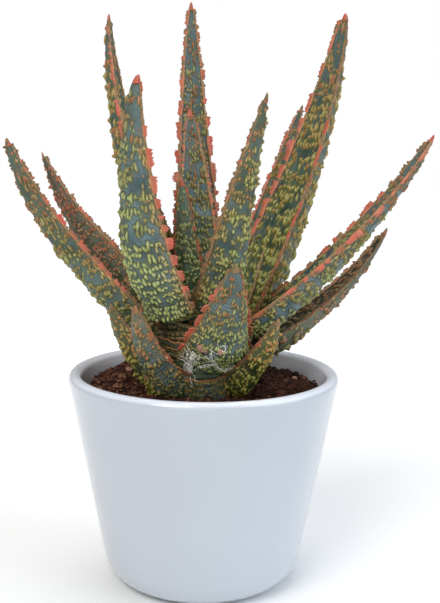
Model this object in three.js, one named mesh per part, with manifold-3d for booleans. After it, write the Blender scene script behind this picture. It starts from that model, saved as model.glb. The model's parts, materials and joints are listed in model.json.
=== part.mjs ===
// Spotted aloe in a glazed white ceramic pot.
// Millimetres, +Z up. The origin is the centre of the pot's flat underside.
// The front of the plant faces -Y.

import * as THREE from 'three';
import Module from 'manifold-3d';

const wasm = await Module();
wasm.setup();

// ---------------------------------------------------------------- driving dimensions

// Pot: a cone frustum with a rounded lip and a rounded bottom edge.
const POT_HEIGHT = 105;
const POT_RIM_RADIUS = 67.5;      // outer radius of the wall's line at the top
const POT_FOOT_RADIUS = 47.3;     // outer radius of the wall's line at the bottom
const POT_WALL = 6.4;
const POT_FLOOR = 8;
const POT_FOOT_FILLET = 15;
const POT_INNER_FILLET = 7;
const POT_LIP_ROUND = 3.2;
const POT_SEGMENTS = 42;

// Soil: fills the pot to a little under the lip, with a plain hole for the stem.
const SOIL_LEVEL = 95.5;
const SOIL_GAP = 0.3;             // under the soil and round the stem
const SOIL_WALL_GAP = 0.6;        // round the soil's side
const SOIL_EDGE_DROP = 1.5;       // the soil's edge lies this much lower
const SOIL_GRAIN = 1.6;
const SOIL_SEGMENTS = 28;

// Stem: short and upright, hidden by the leaf bases.
const STEM_RADIUS = 6.5;
const STEM_TOP_RADIUS = 2.2;
const STEM_BOTTOM = 70;
const STEM_SHOULDER = 112;
const STEM_TOP = 136;
const STEM_SEGMENTS = 12;

// Leaves: a crescent section that narrows to the tip, with a coral margin on both edges.
const LEAF_TAPER = 0.64;          // width follows (1 - s) to this power
const LEAF_BLADE_END = 0.955;     // the coral tip starts here
const LEAF_RELIEF = 0.4;          // height of the raised spots
const LEAF_ROOT_RADIUS = 1;       // the stalk end of each leaf reaches in to this radius
const LEAF_ROOT_HALF_WIDTH = 5;
const LEAF_ROOT_THICKNESS = 4.5;
const LEAF_ROOT_DROP = 1.5;       // the stalk end starts this much lower than the foot
const MARGIN_GAP = 0.25;
const MARGIN_INNER_THICKNESS = 1.1;
const MARGIN_OUTER_THICKNESS = 0.6;
const TOOTH_VALLEY = 0.5;
const TOOTH_PEAK = 2.0;
const TOOTH_PITCH = 11.6;
const MARGIN_START = 0.05;        // where the flanges start and end along the leaf
const MARGIN_END = 0.975;
const CLEARANCE = 0.35;           // gap that a leaf keeps to the leaves inside it
const RING_PITCH = 14;            // distance between the sections that a blade is lofted through

const SOIL_SEED = 41;
const BLADE_SEED = 100;
const MARGIN_SEED = 500;

// One row for each leaf, from the heart of the rosette outwards:
// [name, azimuth, foot height, foot radius, length, rise at the foot, rise at the tip,
//  sideways sweep, width, twist, bend exponent, raised-spot tone]
// Angles in degrees. Azimuth 0 is +X (right), 90 is +Y (back), 270 is -Y (front).
const LEAVES = [
  ['heart', 325, 136, 3, 26, 80, 86, 0, 13, 0, 1.0, 'dark'],
  ['young', 205, 126, 2, 74, 75, 88, 3, 22, 15, 1.0, 'dark'],
  ['inner_back', 104, 122, 5, 115, 80, 74, 4, 29, 7, 0.8, 'blue'],
  ['front_right', 296, 125, 8, 120, 79, 64, 11, 26, 33, 0.55, 'blue'],
  ['tall_left', 157, 134, 7, 152, 65, 86, 5, 29, 9, 1.7, 'blue'],
  ['tall_back', 97, 120, 8, 179, 64, 85, 5, 29, 21, 1.15, 'blue'],
  ['broad_left', 225, 120, 10, 131, 54, 94, 3, 34, -30, 0.9, 'blue'],
  ['tall_right', 34, 120, 9, 183, 57, 76, -1, 35, 4, 1.4, 'blue'],
  ['back_left', 146, 126, 9, 129, 31, 65, 11, 28, 14, 1.85, 'dark'],
  ['far_right', 353, 123, 10, 141, 36, 57, 6, 23, 15, 1.3, 'blue'],
  ['far_left', 176, 119, 10, 135, 39, 69, 3, 27, -2, 2.1, 'blue'],
  ['back_right', 53, 114, 9, 145, 56, 63, -5, 23, -2, 1.05, 'dark'],
  ['back_middle', 122, 112, 9, 84, 44, 66, 0, 25, 0, 1.2, 'dark'],
  ['low_right', 14, 112, 10, 109, 21, 56, 2, 23, 5, 1.35, 'dark'],
  ['front', 282, 108, 10, 66, 46, 66, 12, 39, 21, 0.9, 'blue'],
  ['low_left_front', 226, 101, 9, 58, 18, 78, 3, 26, 3, 1.0, 'olive'],
  ['low_right_front', 314, 101, 9, 55, 20, 66, 0, 22, -1, 1.05, 'olive'],
  ['low_left', 200, 103, 9, 55, 22, 65, 1, 22, 4, 0.95, 'olive'],
  ['low_back_left', 125, 102, 9, 58, 22, 66, 0, 24, 0, 1.1, 'olive'],
  ['low_back_right', 76, 102, 9, 60, 22, 64, 0, 24, 0, 1.1, 'olive'],
];

// ---------------------------------------------------------------- materials

const glaze = new THREE.MeshStandardMaterial({ color: 0xd9dfea, roughness: 0.16, metalness: 0 });
const peat = new THREE.MeshStandardMaterial({ color: 0x3f271f, roughness: 0.95, metalness: 0 });
const bark = new THREE.MeshStandardMaterial({ color: 0x8a8a4c, roughness: 0.8, metalness: 0 });
const coral = new THREE.MeshStandardMaterial({ color: 0xdc6f58, roughness: 0.5, metalness: 0 });
const leafGreens = {
  blue: new THREE.MeshStandardMaterial({ color: 0x66796a, roughness: 0.5, metalness: 0 }),
  dark: new THREE.MeshStandardMaterial({ color: 0x4c5a3a, roughness: 0.5, metalness: 0 }),
  olive: new THREE.MeshStandardMaterial({ color: 0x7a8052, roughness: 0.5, metalness: 0 }),
};

// ---------------------------------------------------------------- helpers

const UP = new THREE.Vector3(0, 0, 1);

// A small repeatable random source, so that each build gives the same plant.
function randomSource(seed) {
  let state = seed >>> 0;
  return () => {
    state = (Math.imul(state, 1664525) + 1013904223) >>> 0;
    return state / 4294967296;
  };
}

function mix(a, b, t) {
  return a + (b - a) * t;
}

function smooth(t) {
  const c = THREE.MathUtils.clamp(t, 0, 1);
  return c * c * (3 - 2 * c);
}

// An indexed geometry from points and triangles.
function surface(points, triangles) {
  const positions = new Float32Array(points.length * 3);
  points.forEach((p, i) => p.toArray(positions, i * 3));
  const geometry = new THREE.BufferGeometry();
  geometry.setAttribute('position', new THREE.BufferAttribute(positions, 3));
  geometry.setIndex(triangles.flat());
  return geometry;
}

// Triangles that close one end of a loft, from the outline's own flat shape.
function capTriangles(outline, offset, flip) {
  const faces = THREE.ShapeUtils.triangulateShape(outline, []);
  return faces.map((face) => {
    const [a, b, c] = face.map((k) => offset + k);
    return flip ? [c, b, a] : [a, b, c];
  });
}

// A closed solid through rings that all have the same number of outline points.
// Each ring is { at, across, over, outline }: the outline's x runs along across, its y along
// over, and it goes round counterclockwise, seen with x to the right and y up.
function loft(rings) {
  const count = rings[0].outline.length;
  const points = [];
  for (const ring of rings) {
    for (const q of ring.outline) {
      points.push(ring.at.clone().addScaledVector(ring.across, q.x).addScaledVector(ring.over, q.y));
    }
  }
  const triangles = [];
  for (let r = 0; r + 1 < rings.length; r += 1) {
    for (let k = 0; k < count; k += 1) {
      const a = r * count + k;
      const b = r * count + ((k + 1) % count);
      const c = a + count;
      const d = b + count;
      if ((r + k) % 2 === 0) {
        triangles.push([a, d, b], [a, c, d]);
      } else {
        triangles.push([a, c, b], [b, c, d]);
      }
    }
  }
  const last = rings.length - 1;
  triangles.push(...capTriangles(rings[0].outline, 0, false));
  triangles.push(...capTriangles(rings[last].outline, last * count, true));
  return surface(points, triangles);
}

function toSolid(geometry) {
  const mesh = new wasm.Mesh({
    numProp: 3,
    vertProperties: Float32Array.from(geometry.attributes.position.array),
    triVerts: Uint32Array.from(geometry.index.array),
  });
  return new wasm.Manifold(mesh);
}

function toGeometry(solid) {
  const mesh = solid.getMesh();
  const geometry = new THREE.BufferGeometry();
  geometry.setAttribute('position', new THREE.BufferAttribute(Float32Array.from(mesh.vertProperties), 3));
  geometry.setIndex(Array.from(mesh.triVerts));
  geometry.computeVertexNormals();
  return geometry;
}

// The largest body of a solid that a cut has left in several bodies.
function largestBody(solid) {
  const bodies = solid.simplify(0.08).decompose();
  return bodies.reduce((best, body) => (body.volume() > best.volume() ? body : best));
}

// ---------------------------------------------------------------- pot, soil and stem

const WALL_SLOPE = (POT_RIM_RADIUS - POT_FOOT_RADIUS) / POT_HEIGHT;
const WALL_ANGLE = Math.atan(WALL_SLOPE);

function outerRadius(z) {
  return POT_FOOT_RADIUS + WALL_SLOPE * z;
}

function innerRadius(z) {
  return outerRadius(z) - POT_WALL / Math.cos(WALL_ANGLE);
}

// Points on an arc, both ends included; angles in radians from the outward direction.
function arc(cx, cz, radius, from, to, steps) {
  const points = [];
  for (let i = 0; i <= steps; i += 1) {
    const t = mix(from, to, i / steps);
    points.push(new THREE.Vector2(cx + radius * Math.cos(t), cz + radius * Math.sin(t)));
  }
  return points;
}

function potProfile() {
  const footCentre = outerRadius(POT_FOOT_FILLET) - POT_FOOT_FILLET / Math.cos(WALL_ANGLE);
  const lipZ = POT_HEIGHT - POT_LIP_ROUND;
  const lipOuter = outerRadius(lipZ) - POT_LIP_ROUND / Math.cos(WALL_ANGLE);
  const lipInner = innerRadius(lipZ) + POT_LIP_ROUND / Math.cos(WALL_ANGLE);
  const innerZ = POT_FLOOR + POT_INNER_FILLET;
  const innerCentre = innerRadius(innerZ) - POT_INNER_FILLET / Math.cos(WALL_ANGLE);
  return [
    new THREE.Vector2(0, 0),
    ...arc(footCentre, POT_FOOT_FILLET, POT_FOOT_FILLET, -Math.PI / 2, -WALL_ANGLE, 4),
    ...arc(lipOuter, lipZ, POT_LIP_ROUND, -WALL_ANGLE, Math.PI / 2, 3),
    ...arc(lipInner, lipZ, POT_LIP_ROUND, Math.PI / 2, Math.PI - WALL_ANGLE, 2).slice(1),
    ...arc(innerCentre, innerZ, POT_INNER_FILLET, -WALL_ANGLE, -Math.PI / 2, 2),
    new THREE.Vector2(0, POT_FLOOR),
  ];
}

// A lathe about +Z with shared vertices, from a profile that starts and ends on the axis.
function turned(profile, segments) {
  const points = [];
  const triangles = [];
  const first = [];
  profile.forEach((p) => {
    first.push(points.length);
    const copies = p.x < 1e-6 ? 1 : segments;
    for (let k = 0; k < copies; k += 1) {
      const a = (2 * Math.PI * k) / segments;
      points.push(new THREE.Vector3(p.x * Math.cos(a), p.x * Math.sin(a), p.y));
    }
  });
  for (let r = 0; r + 1 < profile.length; r += 1) {
    const lowPole = profile[r].x < 1e-6;
    const highPole = profile[r + 1].x < 1e-6;
    for (let k = 0; k < segments; k += 1) {
      const n = (k + 1) % segments;
      const a = first[r] + (lowPole ? 0 : k);
      const b = first[r] + (lowPole ? 0 : n);
      const c = first[r + 1] + (highPole ? 0 : k);
      const d = first[r + 1] + (highPole ? 0 : n);
      if (!lowPole) {
        triangles.push([a, b, highPole ? c : d]);
      }
      if (!highPole) {
        triangles.push([a, d, c]);
      }
    }
  }
  return surface(points, triangles);
}

// Height of the soil's top: gentle heaps with coarse grains on them.
function soilHeight(x, y, random) {
  const heap = 1.3 * Math.sin(x * 0.11 + 0.6) * Math.cos(y * 0.09 - 0.4);
  const clod = 0.9 * Math.sin(x * 0.31 + y * 0.17) * Math.sin(y * 0.27 - x * 0.12);
  return SOIL_LEVEL + heap + clod + SOIL_GRAIN * (random() - 0.5);
}

function soilGeometry() {
  const random = randomSource(SOIL_SEED);
  const holeRadius = STEM_RADIUS + SOIL_GAP;
  const holeFloor = STEM_BOTTOM - SOIL_GAP;
  const bottom = POT_FLOOR + SOIL_GAP;
  const corner = innerRadius(POT_FLOOR + POT_INNER_FILLET);
  const edge = innerRadius(SOIL_LEVEL - SOIL_EDGE_DROP) - SOIL_WALL_GAP;
  const profile = [
    new THREE.Vector2(0, bottom),
    new THREE.Vector2(corner - 1.2 * POT_INNER_FILLET, bottom),
    new THREE.Vector2(corner - 0.43 * POT_INNER_FILLET, bottom + 0.37 * POT_INNER_FILLET),
    new THREE.Vector2(corner - SOIL_WALL_GAP, bottom + POT_INNER_FILLET),
    new THREE.Vector2(edge, SOIL_LEVEL - SOIL_EDGE_DROP),
  ];
  const topRings = [0.95, 0.85, 0.74, 0.62, 0.5, 0.37, 0.24];
  topRings.forEach((k) => profile.push(new THREE.Vector2(edge * k, SOIL_LEVEL)));
  profile.push(new THREE.Vector2(holeRadius, SOIL_LEVEL - 0.4));
  profile.push(new THREE.Vector2(holeRadius, holeFloor));
  profile.push(new THREE.Vector2(0, holeFloor));
  const geometry = turned(profile, SOIL_SEGMENTS);
  const position = geometry.attributes.position;
  for (let i = 0; i < position.count; i += 1) {
    const x = position.getX(i);
    const y = position.getY(i);
    const r = Math.hypot(x, y);
    if (position.getZ(i) > SOIL_LEVEL - 0.1 && r > holeRadius + 0.5) {
      const twist = (random() - 0.5) * 0.1;
      position.setX(i, x * Math.cos(twist) - y * Math.sin(twist));
      position.setY(i, x * Math.sin(twist) + y * Math.cos(twist));
      position.setZ(i, soilHeight(x, y, random));
    }
  }
  return geometry;
}

function stemProfile(grow) {
  return [
    new THREE.Vector2(0, STEM_BOTTOM - grow),
    new THREE.Vector2(STEM_RADIUS + grow, STEM_BOTTOM - grow),
    new THREE.Vector2(STEM_RADIUS + grow, STEM_SHOULDER),
    new THREE.Vector2(mix(STEM_RADIUS, STEM_TOP_RADIUS, 0.6) + grow, mix(STEM_SHOULDER, STEM_TOP, 0.6)),
    new THREE.Vector2(STEM_TOP_RADIUS + grow, STEM_TOP + grow),
    new THREE.Vector2(0, STEM_TOP + grow),
  ];
}

// ---------------------------------------------------------------- leaves

function readLeaf(row) {
  const [name, azimuth, footZ, footRadius, length, riseFoot, riseTip, sweep, width, twist, bend, tone] = row;
  return { name, azimuth, footZ, footRadius, length, riseFoot, riseTip, sweep, width, twist, bend, tone };
}

// Directions of a leaf at s, from 0 at its foot to 1 at its tip:
// along runs to the tip, over out of its upper face, across from edge to edge.
function leafAxes(leaf, s) {
  const rise = THREE.MathUtils.degToRad(leaf.riseFoot + (leaf.riseTip - leaf.riseFoot) * s ** leaf.bend);
  const turn = THREE.MathUtils.degToRad(leaf.azimuth + leaf.sweep * s);
  const out = new THREE.Vector3(Math.cos(turn), Math.sin(turn), 0);
  const along = out.clone().multiplyScalar(Math.cos(rise)).addScaledVector(UP, Math.sin(rise));
  const flat = out.clone().multiplyScalar(-Math.sin(rise)).addScaledVector(UP, Math.cos(rise));
  const side = new THREE.Vector3().crossVectors(along, flat);
  const roll = THREE.MathUtils.degToRad(leaf.twist * s);
  const over = flat.clone().multiplyScalar(Math.cos(roll)).addScaledVector(side, Math.sin(roll));
  const across = flat.clone().multiplyScalar(-Math.sin(roll)).addScaledVector(side, Math.cos(roll));
  return { along, over, across };
}

// Points on a leaf's centre line, walked in short steps along its direction.
function leafLine(leaf) {
  const steps = 96;
  const turn = THREE.MathUtils.degToRad(leaf.azimuth);
  const at = new THREE.Vector3(Math.cos(turn), Math.sin(turn), 0).multiplyScalar(leaf.footRadius);
  at.z = leaf.footZ;
  const points = [at.clone()];
  for (let i = 0; i < steps; i += 1) {
    at.addScaledVector(leafAxes(leaf, (i + 0.5) / steps).along, leaf.length / steps);
    points.push(at.clone());
  }
  return (s) => {
    const t = THREE.MathUtils.clamp(s, 0, 1) * steps;
    const i = Math.min(Math.floor(t), steps - 1);
    return points[i].clone().lerp(points[i + 1], t - i);
  };
}

function halfWidth(leaf, s) {
  return (leaf.width / 2) * Math.max(1 - s, 0) ** LEAF_TAPER;
}

// How far the upper face dips below the edges, as a share of the half width.
function dip(s) {
  return 0.12 + 0.4 * (1 - s) ** 2;
}

// How thick the leaf is in the middle, as a share of the half width.
function thickness(s) {
  return 0.5 + 0.38 * smooth(s / 0.35);
}

// Places of the section's points, from edge (1) to edge (-1), on the upper and the lower face.
const UPPER = [1, 0.5, 0, -0.5, -1];
const LOWER = [-0.75, -0.4, 0, 0.4, 0.75];
const EDGE_CREASE = 0.94;         // where the room's flat edge meets its upper face
const ROOM_STATIONS = [0.2, 0.4, 0.6, 0.75, 0.87, 0.96];

function upperSide(leaf, s, u) {
  return -dip(s) * halfWidth(leaf, s) * (1 - u * u);
}

function lowerSide(leaf, s, u) {
  return upperSide(leaf, s, u) - thickness(s) * halfWidth(leaf, s) * (1 - Math.abs(u) ** 2.2) ** 0.7;
}

// The crescent section at s: a dished upper face and a rounded lower face.
function leafOutline(leaf, s) {
  const w = halfWidth(leaf, s);
  const upper = UPPER.map((u) => new THREE.Vector2(u * w, upperSide(leaf, s, u)));
  const lower = LOWER.map((u) => new THREE.Vector2(u * w, lowerSide(leaf, s, u)));
  return [...upper, ...lower];
}

// The same section grown on every side, with room at both edges for the margin's teeth.
function roomOutline(leaf, s) {
  const w = Math.max(halfWidth(leaf, s), 1);
  const grow = CLEARANCE + LEAF_RELIEF * 1.3;
  const reach = w + MARGIN_GAP + TOOTH_PEAK + CLEARANCE;
  const half = MARGIN_INNER_THICKNESS / 2 + CLEARANCE;
  const upper = UPPER.slice(1, -1).map((u) => new THREE.Vector2(u * w, upperSide(leaf, s, u) + grow));
  const lower = LOWER.map((u) => new THREE.Vector2(u * (w + grow), lowerSide(leaf, s, u) - grow));
  return [
    new THREE.Vector2(reach, half),
    new THREE.Vector2(EDGE_CREASE * w, half),
    ...upper,
    new THREE.Vector2(-EDGE_CREASE * w, half),
    new THREE.Vector2(-reach, half),
    new THREE.Vector2(-reach, -half),
    ...lower,
    new THREE.Vector2(reach, -half),
  ];
}

// Raised spots: every other point of the lofted faces stands out by a small random height.
function addRelief(outline, ring, leaf, s, random) {
  const w = halfWidth(leaf, s);
  const fade = LEAF_RELIEF * Math.min(1, w / 4) * smooth(s / 0.08);
  return outline.map((q, k) => {
    if (k === 0 || k === UPPER.length - 1 || (ring + k) % 2 === 0) {
      return q;
    }
    const lift = fade * mix(0.5, 1.3, random());
    const upper = k < UPPER.length;
    return new THREE.Vector2(q.x, q.y + (upper ? lift * 0.6 : -lift));
  });
}

// The narrow end with which a leaf meets the stem.
function rootRing(leaf) {
  const turn = THREE.MathUtils.degToRad(leaf.azimuth);
  const out = new THREE.Vector3(Math.cos(turn), Math.sin(turn), 0);
  const at = out.clone().multiplyScalar(LEAF_ROOT_RADIUS);
  at.z = leaf.footZ - LEAF_ROOT_DROP;
  const outline = UPPER.map((u) => new THREE.Vector2(u * LEAF_ROOT_HALF_WIDTH, 0));
  LOWER.forEach((u) => {
    const depth = LEAF_ROOT_THICKNESS * (1 - Math.abs(u) ** 2.2) ** 0.7;
    outline.push(new THREE.Vector2(u * LEAF_ROOT_HALF_WIDTH, -depth));
  });
  const across = new THREE.Vector3(Math.sin(turn), -Math.cos(turn), 0);
  return { at, across, over: UP, outline };
}

// The room round that narrow end, with as many outline points as roomOutline.
function rootRoomRing(leaf) {
  const ring = rootRing(leaf);
  const grow = 2.8 * CLEARANCE;
  const half = LEAF_ROOT_HALF_WIDTH + grow;
  const upper = UPPER.slice(1, -1).map((u) => new THREE.Vector2(u * half, grow));
  const lower = LOWER.map((u) => new THREE.Vector2(u * half, -LEAF_ROOT_THICKNESS - grow));
  const outline = [
    new THREE.Vector2(half, 0.9 * grow),
    new THREE.Vector2(EDGE_CREASE * half, grow),
    ...upper,
    new THREE.Vector2(-EDGE_CREASE * half, grow),
    new THREE.Vector2(-half, 0.9 * grow),
    new THREE.Vector2(-half, -0.9 * grow),
    ...lower,
    new THREE.Vector2(half, -0.9 * grow),
  ];
  return { ...ring, outline };
}

function ringCount(leaf) {
  return 2 + Math.round(leaf.length / RING_PITCH);
}

function bladeGeometry(leaf, seed) {
  const random = randomSource(seed);
  const line = leafLine(leaf);
  const rings = [rootRing(leaf)];
  const count = ringCount(leaf);
  for (let i = 0; i <= count; i += 1) {
    const s = (LEAF_BLADE_END * i) / count;
    const { over, across } = leafAxes(leaf, s);
    const outline = addRelief(leafOutline(leaf, s), i, leaf, s, random);
    rings.push({ at: line(s), across, over, outline });
  }
  return loft(rings);
}

// The room that a leaf and its margin take up, with the clearance round them: one solid for
// the narrow end and one for the blade, which starts a little lower and ends a little higher.
function leafRoom(leaf) {
  const line = leafLine(leaf);
  const ring = (s, shift) => {
    const { along, over, across } = leafAxes(leaf, s);
    const at = line(s).addScaledVector(along, shift);
    return { at, across, over, outline: roomOutline(leaf, s) };
  };
  const end = [rootRoomRing(leaf), ring(0, 0)];
  const rings = [ring(0, -1), ...ROOM_STATIONS.map((s) => ring(s, 0)), ring(1, 1)];
  return wasm.Manifold.union([toSolid(loft(end)), toSolid(loft(rings))]);
}

// One toothed flange along an edge: side is +1 or -1.
function flangeGeometry(leaf, side, seed) {
  const random = randomSource(seed);
  const line = leafLine(leaf);
  const teeth = Math.max(3, Math.round(leaf.length / TOOTH_PITCH));
  const rings = [];
  for (let i = 0; i <= teeth * 2; i += 1) {
    const wander = i === 0 || i === teeth * 2 ? 0 : (random() - 0.5) * 0.5;
    const s = mix(MARGIN_START, MARGIN_END, (i + wander) / (teeth * 2));
    const { over, across } = leafAxes(leaf, s);
    const inner = halfWidth(leaf, s) + MARGIN_GAP;
    const fade = smooth(s / 0.15) * mix(1, 0.45, smooth((s - 0.7) / 0.3));
    const peak = TOOTH_VALLEY + (TOOTH_PEAK - TOOTH_VALLEY) * mix(0.55, 1, random()) * fade;
    const outer = inner + (i % 2 === 0 ? TOOTH_VALLEY : peak);
    const outline = [
      new THREE.Vector2(side * inner, MARGIN_INNER_THICKNESS / 2),
      new THREE.Vector2(side * inner, -MARGIN_INNER_THICKNESS / 2),
      new THREE.Vector2(side * outer, -MARGIN_OUTER_THICKNESS / 2),
      new THREE.Vector2(side * outer, MARGIN_OUTER_THICKNESS / 2),
    ];
    if (side < 0) {
      outline.reverse();
    }
    rings.push({ at: line(s), across, over, outline });
  }
  return loft(rings);
}

// The horny tip in which the two flanges meet.
function tipGeometry(leaf) {
  const line = leafLine(leaf);
  const start = LEAF_BLADE_END + MARGIN_GAP / leaf.length;
  const rings = [];
  const stations = [[start, 0], [0.985, 0], [1, 0.35]];
  for (const [s, extra] of stations) {
    const { along, over, across } = leafAxes(leaf, s);
    const w = Math.max(halfWidth(leaf, s) + MARGIN_GAP + 0.3, 0.45);
    const outline = [];
    for (let k = 0; k < 8; k += 1) {
      const a = (Math.PI / 4) * k;
      outline.push(new THREE.Vector2(w * Math.cos(a), 0.75 * w * Math.sin(a) - 0.2 * w));
    }
    rings.push({ at: line(s).addScaledVector(along, extra), across, over, outline });
  }
  return loft(rings);
}

function marginSolid(leaf, seed) {
  const right = toSolid(flangeGeometry(leaf, 1, seed));
  const left = toSolid(flangeGeometry(leaf, -1, seed + 7));
  const tip = toSolid(tipGeometry(leaf));
  return wasm.Manifold.union([right, left, tip]);
}

// ---------------------------------------------------------------- assembly

const plant = new THREE.Group();
plant.name = 'potted_aloe';

function addPart(parent, name, geometry, material) {
  const mesh = new THREE.Mesh(geometry, material.clone());
  mesh.name = name;
  parent.add(mesh);
}

addPart(plant, 'pot', turned(potProfile(), POT_SEGMENTS), glaze);
addPart(plant, 'soil', soilGeometry(), peat);
addPart(plant, 'stem', turned(stemProfile(0), STEM_SEGMENTS), bark);

const rosette = new THREE.Group();
rosette.name = 'rosette';
plant.add(rosette);

// Each leaf gives way to the stem, to the soil under it and to the leaves inside it.
const GROUND_TOP = SOIL_LEVEL + 2 * SOIL_GRAIN;
const ground = toSolid(turned([
  new THREE.Vector2(0, STEM_BOTTOM),
  new THREE.Vector2(POT_RIM_RADIUS, STEM_BOTTOM),
  new THREE.Vector2(POT_RIM_RADIUS, GROUND_TOP),
  new THREE.Vector2(0, GROUND_TOP),
], 24));
const stemRoom = toSolid(turned(stemProfile(CLEARANCE), STEM_SEGMENTS));
let taken = wasm.Manifold.union([ground, stemRoom]);

LEAVES.map(readLeaf).forEach((leaf, index) => {
  const blade = largestBody(toSolid(bladeGeometry(leaf, BLADE_SEED + index)).subtract(taken));
  const margin = largestBody(marginSolid(leaf, MARGIN_SEED + index).subtract(taken));
  addPart(rosette, `leaf_${leaf.name}`, toGeometry(blade), leafGreens[leaf.tone]);
  addPart(rosette, `margin_${leaf.name}`, toGeometry(margin), coral);
  taken = taken.add(leafRoom(leaf));
});

export default plant;
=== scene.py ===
"""Looks of a spotted aloe in a glazed white pot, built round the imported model. Metres, +Z up; the
tables and the shape functions work in millimetres and degrees, and make_object turns them into metres."""

import json
import math
import random as rnd
from types import SimpleNamespace

import bmesh
import bpy
import numpy as np
from mathutils import Matrix, Vector, noise

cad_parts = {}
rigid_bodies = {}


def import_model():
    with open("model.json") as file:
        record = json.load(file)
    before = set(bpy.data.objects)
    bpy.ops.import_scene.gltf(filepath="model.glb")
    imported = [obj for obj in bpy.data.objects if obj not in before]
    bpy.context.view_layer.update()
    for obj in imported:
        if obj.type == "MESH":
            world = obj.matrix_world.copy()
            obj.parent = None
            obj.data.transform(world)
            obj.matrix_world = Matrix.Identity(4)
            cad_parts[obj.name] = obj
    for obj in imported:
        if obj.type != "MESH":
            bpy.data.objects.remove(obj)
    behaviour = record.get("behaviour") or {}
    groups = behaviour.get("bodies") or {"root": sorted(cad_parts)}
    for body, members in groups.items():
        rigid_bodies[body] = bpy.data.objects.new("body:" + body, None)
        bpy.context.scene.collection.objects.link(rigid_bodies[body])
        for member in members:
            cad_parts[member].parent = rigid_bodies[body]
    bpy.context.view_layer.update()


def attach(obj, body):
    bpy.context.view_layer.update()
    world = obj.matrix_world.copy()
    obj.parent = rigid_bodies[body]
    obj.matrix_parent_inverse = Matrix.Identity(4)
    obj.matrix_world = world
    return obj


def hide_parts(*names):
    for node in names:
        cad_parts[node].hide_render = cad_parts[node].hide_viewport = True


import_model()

MM = 0.001

# ---- driving dimensions, mm

POT_HEIGHT = 105.0
POT_RIM_RADIUS = 67.5
POT_FOOT_RADIUS = 47.3
POT_WALL = 6.4
POT_FLOOR = 8.0
POT_FOOT_FILLET = 15.0
POT_INNER_FILLET = 7.0
POT_LIP_ROUND = 3.2
POT_SEGMENTS = 224
SOIL_LEVEL = 95.5
SOIL_GAP = 0.5      # between the soil and the pot's wall
SOIL_SEGMENTS = 256
STEM_SEGMENTS = 48

TIP_LENGTH = 2.8    # the horny end of each leaf
ROOT_RADIUS = 1.0   # where a leaf starts inside the stem
ROOT_HALF_WIDTH = 5.0
ROOT_THICKNESS = 4.5
ROOT_DROP = 1.5
EDGE_DROP = 0.12    # between the upper and the lower face at a leaf's edge
ROW_STEP = 0.36     # mesh spacing along a leaf
COLUMN_STEP = 0.32  # and across it
MARGIN_STEP = 0.26  # and along a margin
TIP_ROWS, TIP_COLUMNS = 34, 20
LINE_STEPS = 400    # straight steps in a leaf's middle line
MOST_QUADS = 92000  # for one leaf; a larger leaf takes wider steps

SHEATH_THICKNESS = 1.1
SHEATH_LEAN = 0.30  # how much the radius shrinks for each mm down
CRUMBS_IN_ALL = 3600
CLODS = 36          # the first and largest of them
THREAD_RADIUS = 0.13
THREAD_SIDES = 5

# Seeds; a leaf or a sheath adds its number.
BLADE_SEED, MARGIN_SEED, SHEATH_SEED, CRUMB_SEED, THREAD_SEED, FLAKE_SEED = 9100, 4700, 970, 77, 31, 32
EDGE_WAVES, RIB_WAVES, SWELL_WAVES, FURROW_WAVES, TILT_WAVES = 40, 70, 80, 90, 300
RIM_WAVES, RIPPLE_WAVES, STRIPE_WAVES = 900, 930, 990
ANY_PHASE = (0, 6.28)

# ---- leaves

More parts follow.
